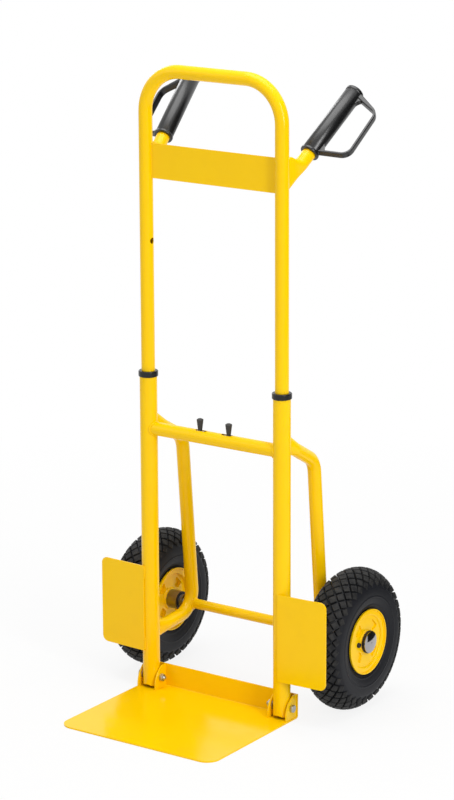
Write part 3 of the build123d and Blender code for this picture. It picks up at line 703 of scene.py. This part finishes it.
def bow_seam(sign, start, bend):
    """Where a bow's flattened end runs into the back of its stile."""
    length = hypot(bend[0] - start[0], bend[1] - start[1])
    run = ((bend[0] - start[0]) / length, (bend[1] - start[1]) / length)

    def curve(angle):
        out = STILE_R
        for _ in range(SEAM_ROUNDS):
            share = (out - BOW_FLAT_START) / (BOW_FLAT_END - BOW_FLAT_START)
            aside = (BOW_FLAT + share * (BOW_R - BOW_FLAT) + SEAM_LIFT) * cos(angle)
            tall = (BOW_TALL + share * (BOW_R - BOW_TALL) + SEAM_LIFT) * sin(angle)
            out = (sqrt((STILE_R + SEAM_LIFT) ** 2 - aside * aside) + tall * run[1]) / run[0]
        return sign * STILE_X + aside, out * run[0] - tall * run[1], start[1] + out * run[1] + tall * run[0]

    return curve


def stub_axes(sign):
    """Directions of a grip stub: along it, level across it, and square to both."""
    rise = radians(STUB_RISE)
    splay = radians(STUB_SPLAY)
    along = Vector((sign * sin(splay) * cos(rise), cos(splay) * cos(rise), sin(rise)))
    level = Vector((sign * cos(splay), -sin(splay), 0.0))
    below = Vector((sign * sin(rise) * sin(splay), sin(rise) * cos(splay), -cos(rise)))
    return along, level, below


def stub_root(sign):
    """Where the line of a stub meets the line of its leg."""
    return Vector((sign * STILE_X, 0.0, STUB_Z))


def stub_seam(sign):
    """Where a stub's pressed end meets the back of its leg."""
    along, level, below = stub_axes(sign)
    root = stub_root(sign)
    middle = (PRESSED_TOP + PRESSED_FOOT) / 2
    half = (PRESSED_TOP - PRESSED_FOOT) / 2

    def curve(angle):
        start = root + level * PRESSED_HALF * cos(angle) - below * (middle + half * sin(angle))
        near, far = STUB_SEAM_RANGE
        for _ in range(SEAM_HALVINGS):
            out = (near + far) / 2
            point = start + along * out
            off_axis = Vector((point.x - root.x, point.y))
            if off_axis.y < 0 or off_axis.length < LEG_R + STUB_SEAM_LIFT:
                near = out
            else:
                far = out
        return point

    return curve


def axle_seam(sign):
    """Where the axle tube meets the inner side of a bow's lower bend."""
    corner = Vector(BOW_LOW)
    up = (Vector(BOW_HIGH) - corner).normalized()
    forward = (Vector(BOW_FOOT) - corner).normalized()
    bend_centre = corner + (up + forward).normalized() * BOW_BEND_R / sin(up.angle(forward) / 2)
    around = AXLE_TUBE_R + SEAM_LIFT

    def curve(angle):
        y = WHEEL_Y + around * cos(angle)
        z = WHEEL_R + around * sin(angle)
        off = (Vector((y, z)) - bend_centre).length - BOW_BEND_R
        return sign * (STILE_X - sqrt(max((BOW_R + SEAM_LIFT) ** 2 - off * off, 0.0))), y, z

    return curve


def plate_beads(sign):
    """Beads down one end of the name plate, front and back."""
    x = sign * (STILE_X - LEG_R - PLATE_BEAD_GAP)
    for y in (-PLATE_BEAD_Y, PLATE_BEAD_Y):
        run = straight((x, y, PLATE_LOW + WELD_INSET), (x, y, PLATE_HIGH - WELD_INSET))
        yield bead(run, PLATE_BEAD_R, closed=False)


def guard_beads(sign):
    """Short beads at the foot and the head of a wheel guard."""
    x = sign * (GUARD_EDGE_X - GUARD_BEAD_GAP)
    y = -STILE_R - GUARD_BEAD_LIFT
    for low in (GUARD_LOW + WELD_INSET, GUARD_HIGH - WELD_INSET - GUARD_BEAD_LONG):
        yield bead(straight((x, y, low), (x, y, low + GUARD_BEAD_LONG)), GUARD_BEAD_R, closed=False)


def weld(name, body, beads):
    """Beads of one kind, painted over, as one piece."""
    add_piece(name, body, "yellow_paint", *join(*beads), WELD_CREASE)


bow_arms = ((BOW_TOP, BOW_HIGH), (BOW_FOOT, BOW_LOW))
bow_seams = [bow_seam(sign, *arm) for _, sign in SIDES for arm in bow_arms]
weld("crossbar_welds", "frame", [bead(even(crossbar_seam(sign)), STILE_BEAD_R) for _, sign in SIDES])
weld("bow_welds", "frame", [bead(even(seam), STILE_BEAD_R) for seam in bow_seams])
weld("stub_welds", "handle", [bead(even(stub_seam(sign)), STUB_BEAD_R) for _, sign in SIDES])
weld("axle_welds", "frame", [bead(even(axle_seam(sign)), AXLE_BEAD_R) for _, sign in SIDES])
weld("name_plate_welds", "handle", [made for _, sign in SIDES for made in plate_beads(sign)])
weld("guard_welds", "frame", [made for _, sign in SIDES for made in guard_beads(sign)])


# Grip stubs


def outline(half_wide, half_tall, power, count):
    """Points round a shape between an ellipse, at power 2, and a box."""

    def eased(value):
        return copysign(abs(value) ** (2 / power), value)

    return [(half_wide * eased(cos(a)), half_tall * eased(sin(a))) for a in angles_round(count)]


def pressed_stub(side, sign):
    """Stub tube: flat and tall where it is welded to the leg, round where it enters the grip."""
    along, level, below = stub_axes(sign)
    root = stub_root(sign)
    slope = tan(radians(STUB_RISE))
    flat_end = PRESSED_CREST - PRESSED_LEAN * PRESSED_TOP * slope

    def ring(length, lean, fullness):
        top = PRESSED_TOP + fullness * (LEG_R - PRESSED_TOP)
        foot = PRESSED_FOOT + fullness * (-LEG_R - PRESSED_FOOT)
        half_wide = PRESSED_HALF + fullness * (LEG_R - PRESSED_HALF)
        points = []
        for x, y in outline(half_wide, (top - foot) / 2, PRESSED_SQUARE - fullness, STUB_SIDES):
            height = y + (top + foot) / 2
            points.append(root + level * x - below * height + along * (length + lean * slope * height))
        return points

    rings = [ring(PRESSED_INSET / cos(radians(STUB_RISE)), 1.0, 0.0)]
    for step in range(STUB_STEPS + 1):
        share = step / STUB_STEPS
        fullness = share * share * (3 - 2 * share)
        rings.append(ring(flat_end + share * (STUB_ROUND - flat_end), PRESSED_LEAN * (1 - share), fullness))
    rings.append(ring(STUB_END, 0.0, 1.0))
    add_piece(f"{side}_pressed_stub", "handle", "yellow_paint", *loft(rings), STUB_CREASE, [f"{side}_grip_stub"])


for side, sign in SIDES:
    pressed_stub(side, sign)


# Grips


def rounded_path(corners, bend):
    """Points along a path of straight lines with arcs at its inner corners."""
    path = [Vector(corners[0])]
    for before, corner, after in zip(corners, corners[1:], corners[2:]):
        corner = Vector(corner)
        to_before = (Vector(before) - corner).normalized()
        to_after = (Vector(after) - corner).normalized()
        half = to_before.angle(to_after) / 2
        centre = corner + (to_before + to_after).normalized() * bend / sin(half)
        first = corner + to_before * bend / tan(half) - centre
        last = corner + to_after * bend / tan(half) - centre
        for step in range(KNUCKLE_BEND_STEPS + 1):
            path.append(centre + bend * first.slerp(last, step / KNUCKLE_BEND_STEPS).normalized())
    path.append(Vector(corners[-1]))
    return path


def grip_sleeve(place):
    """Sleeve with a flange at its foot and a domed cap."""
    flange_end = GRIP_START + FLANGE_WIDE
    cap_start = GRIP_END - GRIP_CAP_LONG
    stations = (
        (GRIP_START, FLANGE_R, FLANGE_FRONT),
        (flange_end, FLANGE_R, FLANGE_BACK),
        (flange_end, GRIP_R, FLANGE_GROOVE),
        (cap_start, GRIP_R, CAP_GROOVE),
        (cap_start, GRIP_CAP_R, CAP_EDGE),
        (GRIP_END, GRIP_CAP_R, CAP_DOME),
    )
    edges = [(station + more, full + less) for station, full, edge in stations for more, less in edge]
    profile = [(GRIP_START, CENTRE_R), *edges, (GRIP_END, CENTRE_R)]
    angles = angles_round(GRIP_SIDES)
    return loft([[place(r * cos(a), length, r * sin(a)) for a in angles] for length, r in profile])


def knuckle_bow(place):
    """Flat bow over the knuckles, thickest where it leaves the cap."""
    path = rounded_path(KNUCKLE_ROUTE, KNUCKLE_BEND)
    last = len(path) - 1
    taper = (path[0] - Vector(KNUCKLE_ROUTE[1])).length
    rings = []
    for step, point in enumerate(path):
        run = (path[min(step + 1, last)] - path[max(step - 1, 0)]).normalized()
        swell = max(0.0, 1 - (point - path[0]).length / taper)
        thick = KNUCKLE_THICK + (KNUCKLE_ROOT - KNUCKLE_THICK) * swell
        shape = outline(KNUCKLE_WIDE / 2, thick / 2, KNUCKLE_SQUARE, KNUCKLE_SIDES)
        rings.append([place(point.x - y * run.y, point.y + y * run.x, x) for x, y in shape])
    return loft(rings)


def gusset(place, start, bend):
    """Web with a hollow edge between the sleeve and one end of the bow."""
    start, bend = Vector(start), Vector(bend)
    inwards = copysign(1.0, bend.y - start.y)
    arm = start + (bend - start).normalized() * (GRIP_R - start.x + GUSSET)
    heel = Vector((GRIP_R - GUSSET_SUNK, start.y))
    toe = Vector((GRIP_R - GUSSET_SUNK, start.y + inwards * GUSSET_LONG))
    hollow = (arm + toe) / 2 * (1 - GUSSET_HOLLOW) + heel * GUSSET_HOLLOW
    steps = [step / GUSSET_STEPS for step in range(GUSSET_STEPS + 1)]
    edge = [arm * (1 - t) ** 2 + hollow * 2 * t * (1 - t) + toe * t * t for t in steps]
    return loft([[place(v.x, v.y, off) for v in (heel, *edge)] for off in (-GUSSET_HALF, GUSSET_HALF)])


def moulded_grip(side, sign):
    """Sleeve, bow and gussets, placed by the reach towards the bow, the length along the stub and an offset."""
    along, level, below = stub_axes(sign)
    droop = radians(KNUCKLE_DROOP)
    out = level * cos(droop) + below * sin(droop)
    aside = out.cross(along)
    root = stub_root(sign)

    def place(reach, length, off):
        return root + out * reach + along * length + aside * off

    ends = (KNUCKLE_ROUTE[:2], KNUCKLE_ROUTE[:1:-1])
    moulding = join(grip_sleeve(place), knuckle_bow(place), *(gusset(place, *end) for end in ends))
    add_piece(f"{side}_moulded_grip", "handle", "black_plastic", *moulding, GRIP_CREASE, [f"{side}_grip"])


for side, sign in SIDES:
    moulded_grip(side, sign)


# Tyres


def circle_through(first, middle, last):
    """Centre and radius of the circle through three points."""
    (ax, ay), (bx, by), (cx, cy) = first, middle, last
    double = 2 * (ax * (by - cy) + bx * (cy - ay) + cx * (ay - by))
    squares = [x * x + y * y for x, y in (first, middle, last)]
    x = (squares[0] * (by - cy) + squares[1] * (cy - ay) + squares[2] * (ay - by)) / double
    y = (squares[0] * (cx - bx) + squares[1] * (ax - cx) + squares[2] * (bx - ax)) / double
    return x, y, hypot(ax - x, ay - y)


SHOULDER = (CROWN_R * sin(radians(SHOULDER_LEAN)), WHEEL_R - CROWN_R * (1 - cos(radians(SHOULDER_LEAN))))
CROWN_LENGTH = CROWN_R * radians(SHOULDER_LEAN)
SIDE_X, SIDE_Y, SIDE_R = circle_through(SHOULDER, WIDEST, SIDE_FOOT)
SIDE_START = atan2(SHOULDER[1] - SIDE_Y, SHOULDER[0] - SIDE_X)
SIDE_END = atan2(SIDE_FOOT[1] - SIDE_Y, SIDE_FOOT[0] - SIDE_X)
SECTION_LENGTH = CROWN_LENGTH + SIDE_R * (SIDE_START - SIDE_END)


def section(across, sink=0.0):
    """Tyre surface at a length across it from the middle of the crown: (x, radius)."""
    length = abs(across)
    if length <= CROWN_LENGTH:
        lean = pi / 2 - length / CROWN_R
        x, y, r = 0.0, WHEEL_R - CROWN_R, CROWN_R - sink
    else:
        lean = SIDE_START - (length - CROWN_LENGTH) / SIDE_R
        x, y, r = SIDE_X, SIDE_Y, SIDE_R - sink
    out = x + r * cos(lean)
    return (out if across >= 0 else -out), y + r * sin(lean)


def groove_depth(across):
    """Depth of the grooves, running out over the shoulder."""
    start, end = TREAD_FADE
    share = (end - abs(across)) / (end - start)
    return TREAD_DEPTH * min(1.0, max(0.0, share))


def side_ridge(radius):
    """Height of the rings on the sidewall."""
    return sum(height * max(0.0, 1 - ((radius - ridge_r) / half) ** 2) for ridge_r, half, height in SIDE_RIDGES)


def sidewall():
    """One sidewall from the tread's edge to the rim, as (x, radius)."""
    edge = TREAD_STEP * (TREAD_ROWS + 1)
    wall = []
    for step in range(1, SIDE_STEPS + 1):
        across = edge + (SECTION_LENGTH - edge) * step / SIDE_STEPS
        radius = section(across)[1]
        wall.append(section(across, TREAD_WEAR + groove_depth(across) - side_ridge(radius)))
    return wall


def rim_bead():
    """Chamfered foot of the tyre that sits in the rim."""
    outer = SIDE_FOOT[0]
    up = BEAD_R + BEAD_CHAMFER
    return [(outer, up), (outer - BEAD_CHAMFER, BEAD_R), (BEAD_INNER + BEAD_CHAMFER, BEAD_R), (BEAD_INNER, up)]


def inner_liner():
    """Hollow that holds the tube, from the bead to the middle of the tyre."""
    start = atan2(-sqrt(LINER_R**2 - BEAD_INNER**2), BEAD_INNER)
    leans = [start + (pi / 2 - start) * step / LINER_STEPS for step in range(LINER_STEPS + 1)]
    return [(LINER_R * cos(lean), LINER_CENTRE_R + LINER_R * sin(lean)) for lean in leans]


class TyreMesh:
    """Points and faces of one tyre, and how far each point stands up a tread block."""

    def __init__(self, sign):
        self.sign = sign
        self.points = []
        self.tops = []
        self.faces = []
        self.seen = {}
        self.add_blocks()
        rings = {face: self.add_notches(face) for face in (-1, 1)}
        self.add_carcass(rings)

    def put(self, x, radius, turn, top=0.0):
        across = self.sign * (WHEEL_X + x)
        self.points.append((across, WHEEL_Y + radius * cos(turn), WHEEL_R + radius * sin(turn)))
        self.tops.append(top)
        return len(self.points) - 1

    def lattice(self, p, q, rise):
        """Tread point at lattice place (p, q), the same one for neighbouring blocks."""
        laps = (round((p + q) * LATTICE_FINE) // round(TURN_UNITS * LATTICE_FINE)) * TURN_UNITS / 2
        key = (round((p - laps) * LATTICE_FINE), round((q - laps) * LATTICE_FINE))
        if key not in self.seen:
            across = TREAD_STEP * (p - q) / 2
            x, radius = section(across, TREAD_WEAR + groove_depth(across) * (1 - rise))
            self.seen[key] = self.put(x, radius, tau * (p + q + 2) / TURN_UNITS, rise)
        return self.seen[key]

    def add_blocks(self):
        """Blocks in staggered rows, with the grooves between them."""
        for row in range(-TREAD_ROWS, TREAD_ROWS + 1):
            for pitch in range(TREAD_PITCHES):
                grid = []
                for p in TREAD_LINES:
                    rises = [TREAD_RISE[max(abs(p), abs(q))] for q in TREAD_LINES]
                    places = [(2 * (pitch + row) + p, 2 * pitch + q) for q in TREAD_LINES]
                    grid.append([self.lattice(*place, rise) for place, rise in zip(places, rises)])
                for low, high in zip(grid, grid[1:]):
                    for k in range(len(TREAD_LINES) - 1):
                        self.faces.append([low[k], high[k], high[k + 1], low[k + 1]])

    def add_notches(self, face):
        """Runs the notches between the outermost blocks out into an even ring, which is returned."""
        ring = [None] * TURN_UNITS
        steps = TURN_UNITS // TREAD_PITCHES
        for pitch in range(TREAD_PITCHES):
            high = 2 * (pitch + TREAD_ROWS) + 1
            low = 2 * pitch + 1
            rows = []
            for line in TREAD_LINES:
                reach = 1 + line
                shares = [k / steps for k in range(steps + 1)]
                places = [(high + reach * share, low - reach * (1 - share)) for share in shares]
                rows.append([self.lattice(*place[::face], 0.0) for place in places])
            for inner, outer in zip(rows, rows[1:]):
                for k in range(steps):
                    corners = [inner[k], outer[k], outer[k + 1], inner[k + 1]]
                    self.faces.append(list(dict.fromkeys(corners)))
            for k in range(steps):
                ring[(high + low + k) % TURN_UNITS] = rows[-1][k]
        return ring

    def add_carcass(self, rings):
        """Sidewalls, beads and liner, from the tread's edge on one face to that on the other."""
        half = sidewall() + rim_bead() + inner_liner()
        other_half = [(-x, r) for x, r in reversed(half[:-1])]
        skin = [rings[1]]
        for x, radius in half + other_half:
            skin.append([self.put(x, radius, turn) for turn in angles_round(TURN_UNITS)])
        skin.append(rings[-1])
        for low, high in zip(skin, skin[1:]):
            for k in range(TURN_UNITS):
                after = (k + 1) % TURN_UNITS
                self.faces.append([low[k], low[after], high[after], high[k]])


def treaded_tyre(side, sign):
    """Tyre with its block tread; its material reads how far each point stands up a tread block."""
    made = TyreMesh(sign)
    shape = (made.points, made.faces)
    stood_for = [f"{side}_tyre"]
    tyre = add_piece(f"{side}_treaded_tyre", f"{side}_wheel", "tyre_rubber", *shape, TYRE_CREASE, stood_for)
    block_rise = tyre.data.attributes.new("tread_top", "FLOAT", "POINT")
    block_rise.data.foreach_set("value", made.tops)


for side, sign in SIDES:
    treaded_tyre(side, sign)


# Valve caps


def fluted(radius):
    """Radius that waves in and out between the flutes."""
    return lambda angle: radius + FLUTE_DEPTH * cos(VALVE_FLUTES * angle)


def valve_cap(side, sign):
    """Fluted cap over the end of the valve stem."""
    sections = [(VALVE_TIP + past, fluted(r) if has_flutes else plain(r)) for past, r, has_flutes in VALVE_CAP]
    rings = turned(sections, (sign * WHEEL_X, WHEEL_Y - VALVE_R, WHEEL_R), sign, VALVE_SIDES)
    add_piece(f"{side}_valve_cap", f"{side}_wheel", "tube_rubber", *loft(rings))


for side, sign in SIDES:
    valve_cap(side, sign)


# Latch springs


def coil_spring(side, sign):
    """Coil spring from the stop on the crossbar out towards the head of the latch pin."""
    first = SPRING_START + SPRING_WIRE
    last = SPRING_END - SPRING_WIRE
    lengthwise = Vector((1.0, 0.0, 0.0))
    rings = []
    for step in range(SPRING_STEPS + 1):
        share = step / SPRING_STEPS
        angle = tau * SPRING_TURNS * share
        outwards = Vector((0.0, cos(angle), sin(angle)))
        centre = Vector((sign * (first + share * (last - first)), 0.0, CROSSBAR_Z)) + outwards * SPRING_R
        around = angles_round(SPRING_SIDES)
        rings.append([centre + SPRING_WIRE * (outwards * cos(a) + lengthwise * sin(a)) for a in around])
    stood_for = [f"{side}_latch_spring"]
    spring = add_piece(f"{side}_coil_spring", None, "plain_steel", *loft(rings), SPRING_CREASE, stood_for)
    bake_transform(spring)


for side, sign in SIDES:
    coil_spring(side, sign)


# Hinge bolts and nuts


def hex_at(angle):
    """Radius of the hexagon at an angle."""
    return HEX_FLATS / 2 / cos((angle + pi / 6) % (pi / 3) - pi / 6)


def under_cone(limit):
    """Hexagon cut back by the chamfer cone where that is smaller."""
    return lambda angle: min(hex_at(angle), limit)


def thread_at(out):
    """Radius of the thread at a distance along the bolt."""

    def radius(angle):
        phase = (out / THREAD_PITCH - angle / tau) % 1.0
        return BOLT_R - THREAD_DEPTH * abs(2 * phase - 1)

    return radius


def hinge_bolt(sign):
    """Hexagon head with a washer face and a dished top, and a shank with its thread."""
    washer_face = plain(HEX_FLATS / 2 - WASHER_INSET)
    sections = [(0.0, washer_face), (WASHER_FACE, washer_face), (WASHER_FACE, hex_at)]
    for step in range(HEAD_STEPS + 1):
        out = HEAD_HEIGHT - HEAD_CHAMFER + HEAD_CHAMFER * step / HEAD_STEPS
        sections.append((out, under_cone(HEX_END_R + HEAD_CONE * (HEAD_HEIGHT - out))))
    dish = HEAD_HEIGHT - DISH_DEPTH
    sections += [(HEAD_HEIGHT, plain(DISH_RIM_R)), (dish, plain(DISH_R)), (dish, plain(CENTRE_R))]
    seat = (sign * (STILE_X + BOLT_SEAT), 0.0, HINGE_Z)
    head = loft(turned(sections, seat, sign, HEX_SIDES))

    length = 2 * BOLT_SEAT + NUT_HEIGHT + THREAD_END
    thread_start = length - THREAD_LONG
    shank = [(-SHANK_SUNK, plain(BOLT_R)), (thread_start, plain(BOLT_R))]
    for step in range(1, THREAD_STEPS + 1):
        out = thread_start + (length - THREAD_TIP - thread_start) * step / THREAD_STEPS
        shank.append((out, thread_at(out)))
    shank.append((length, plain(BOLT_R - THREAD_TIP_INSET)))
    return join(head, loft(turned(shank, seat, -sign, SHANK_SIDES)))


def hinge_nut(sign):
    """Hexagon nut, chamfered at both ends and open round the bolt."""
    bore = plain(BOLT_R + NUT_CLEAR)
    sections = [(0.0, bore), (0.0, plain(NUT_SEAT_R))]
    for step in range(NUT_FOOT_STEPS + 1):
        out = NUT_FOOT * step / NUT_FOOT_STEPS
        sections.append((out, under_cone(HEX_END_R + NUT_CONE * out)))
    flats_start, flats_end = NUT_FLATS
    sections += [(flats_start, hex_at), (NUT_HEIGHT - flats_end, hex_at)]
    for step in range(NUT_STEPS + 1):
        out = NUT_HEIGHT - NUT_CHAMFER + NUT_CHAMFER * step / NUT_STEPS
        sections.append((out, under_cone(HEX_END_R + NUT_CONE * (NUT_HEIGHT - out))))
    sections += [(NUT_HEIGHT, plain(NUT_MOUTH_R)), (NUT_HEIGHT - NUT_MOUTH, bore)]
    seat = (sign * (STILE_X - BOLT_SEAT), 0.0, HINGE_Z)
    return loft(turned(sections, seat, -sign, HEX_SIDES), closed=True)


bolts = join(*(hinge_bolt(sign) for _, sign in SIDES))
nuts = join(*(hinge_nut(sign) for _, sign in SIDES))
add_piece("hex_bolts", "frame", "zinc", *bolts, HEX_CREASE, ["hinge_bolts"])
add_piece("hex_nuts", "frame", "zinc", *nuts, HEX_CREASE, ["hinge_nuts"])


# Floor, light and camera


def flat_sheet(name, corners, material):
    """One face from its corners in metres."""
    mesh = bpy.data.meshes.new(name)
    mesh.from_pydata(corners, [], [list(range(len(corners)))])
    mesh.materials.append(material)
    return place_object(name, mesh)


def pale_floor():
    """White to the eye and in reflections, matt under the lamps, so that it still takes the shadow."""
    finish = Finish("pale_floor")
    speckle = finish.noise(30.0, 3.0)
    finish.surface(base_color=finish.blend(speckle, (0.80, 0.80, 0.80, 1.0), (0.84, 0.84, 0.84, 1.0)))
    finish.shader.inputs["Roughness"].default_value = 1.0
    finish.shader.inputs["Specular IOR Level"].default_value = 0.0
    glow = finish.node("ShaderNodeEmission", {}, {"Color": WHITE, "Strength": 1.0})
    matt = Tone(finish, finish.shader.outputs[0])
    away = finish.node("ShaderNodeVectorMath", {"operation": "LENGTH"}, {0: finish.place}, "Value")
    open_floor = finish.ramp(away * 0.4, (0.22, 0.0), (0.75, 1.0))
    glowing = finish.shown() * (FLOOR_GLOW + (1 - FLOOR_GLOW) * open_floor)
    mixed = finish.node("ShaderNodeMixShader", {}, {0: glowing, 1: matt, 2: glow})
    finish.feed(finish.tree.nodes["Material Output"].inputs["Surface"], mixed)
    return finish.material


def studio_floor():
    """Wide floor that the truck stands on."""
    low, high = -FLOOR_HALF, FLOOR_HALF
    corners = [(low, low, 0), (high, low, 0), (high, high, 0), (low, high, 0)]
    floor = flat_sheet("studio_floor", corners, pale_floor())


def surroundings():
    """Soft even light all round, white where it is seen."""
    world = bpy.data.worlds.new("surroundings")
    world.use_nodes = True
    sky = Shading(world.node_tree)
    sky.tree.nodes.remove(sky.tree.nodes["Background"])
    fill = sky.node("ShaderNodeBackground", {}, {"Color": WHITE, "Strength": FILL_LIGHT})
    backdrop = sky.node("ShaderNodeBackground", {}, {"Color": WHITE, "Strength": 1.0})
    mixed = sky.node("ShaderNodeMixShader", {}, {0: sky.shown(), 1: fill, 2: backdrop})
    sky.feed(sky.tree.nodes["World Output"].inputs["Surface"], mixed)
    bpy.context.scene.world = world


def dark_flag(name, near, far, low, high):
    """Black card that only reflections show."""
    finish = Finish(name)
    weave = finish.noise(300.0, 2.0)
    shade = finish.blend(weave, screen(9, 9, 9), screen(17, 17, 17))
    finish.surface(base_color=shade, roughness=0.8 + 0.1 * weave)
    corners = [(*near, low), (*far, low), (*far, high), (*near, high)]
    flag = flat_sheet(name, corners, finish.material)
    flag.visible_camera = False
    flag.visible_diffuse = False
    flag.visible_shadow = False


def softbox(name, place, aim, width, height, power):
    """Area lamp that the camera doesn't see."""
    lamp = bpy.data.lights.new(name, "AREA")
    lamp.shape = "RECTANGLE"
    lamp.size = width
    lamp.size_y = height
    lamp.energy = power
    box = place_object(name, lamp)
    box.location = place
    box.rotation_euler = (Vector(aim) - Vector(place)).to_track_quat("-Z", "Y").to_euler()
    box.visible_camera = False


def photo_camera():
    """Camera where the photograph was taken from."""
    lens = bpy.data.cameras.new("camera")
    lens.sensor_fit = "VERTICAL"
    lens.sensor_height = VIEW_SENSOR
    lens.lens = VIEW_LENS
    lens.clip_end = VIEW_FAR
    camera = place_object("camera", lens)
    turn, drop, roll = radians(VIEW_TURN), radians(VIEW_DROP), radians(VIEW_ROLL)
    back = Vector((sin(turn) * cos(drop), -cos(turn) * cos(drop), sin(drop)))
    across = Vector((cos(turn), sin(turn), 0.0))
    upright = back.cross(across)
    right = across * cos(roll) + upright * sin(roll)
    up = upright * cos(roll) - across * sin(roll)
    camera.matrix_world = Matrix.Translation(VIEW_PLACE) @ Matrix((right, up, back)).transposed().to_4x4()
    bpy.context.scene.camera = camera


studio_floor()
surroundings()
for name, edges in DARK_FLAGS.items():
    dark_flag(name, *edges)
for name, settings in SOFTBOXES.items():
    softbox(name, *settings)
photo_camera()
bpy.context.scene.view_settings.view_transform = "Standard"
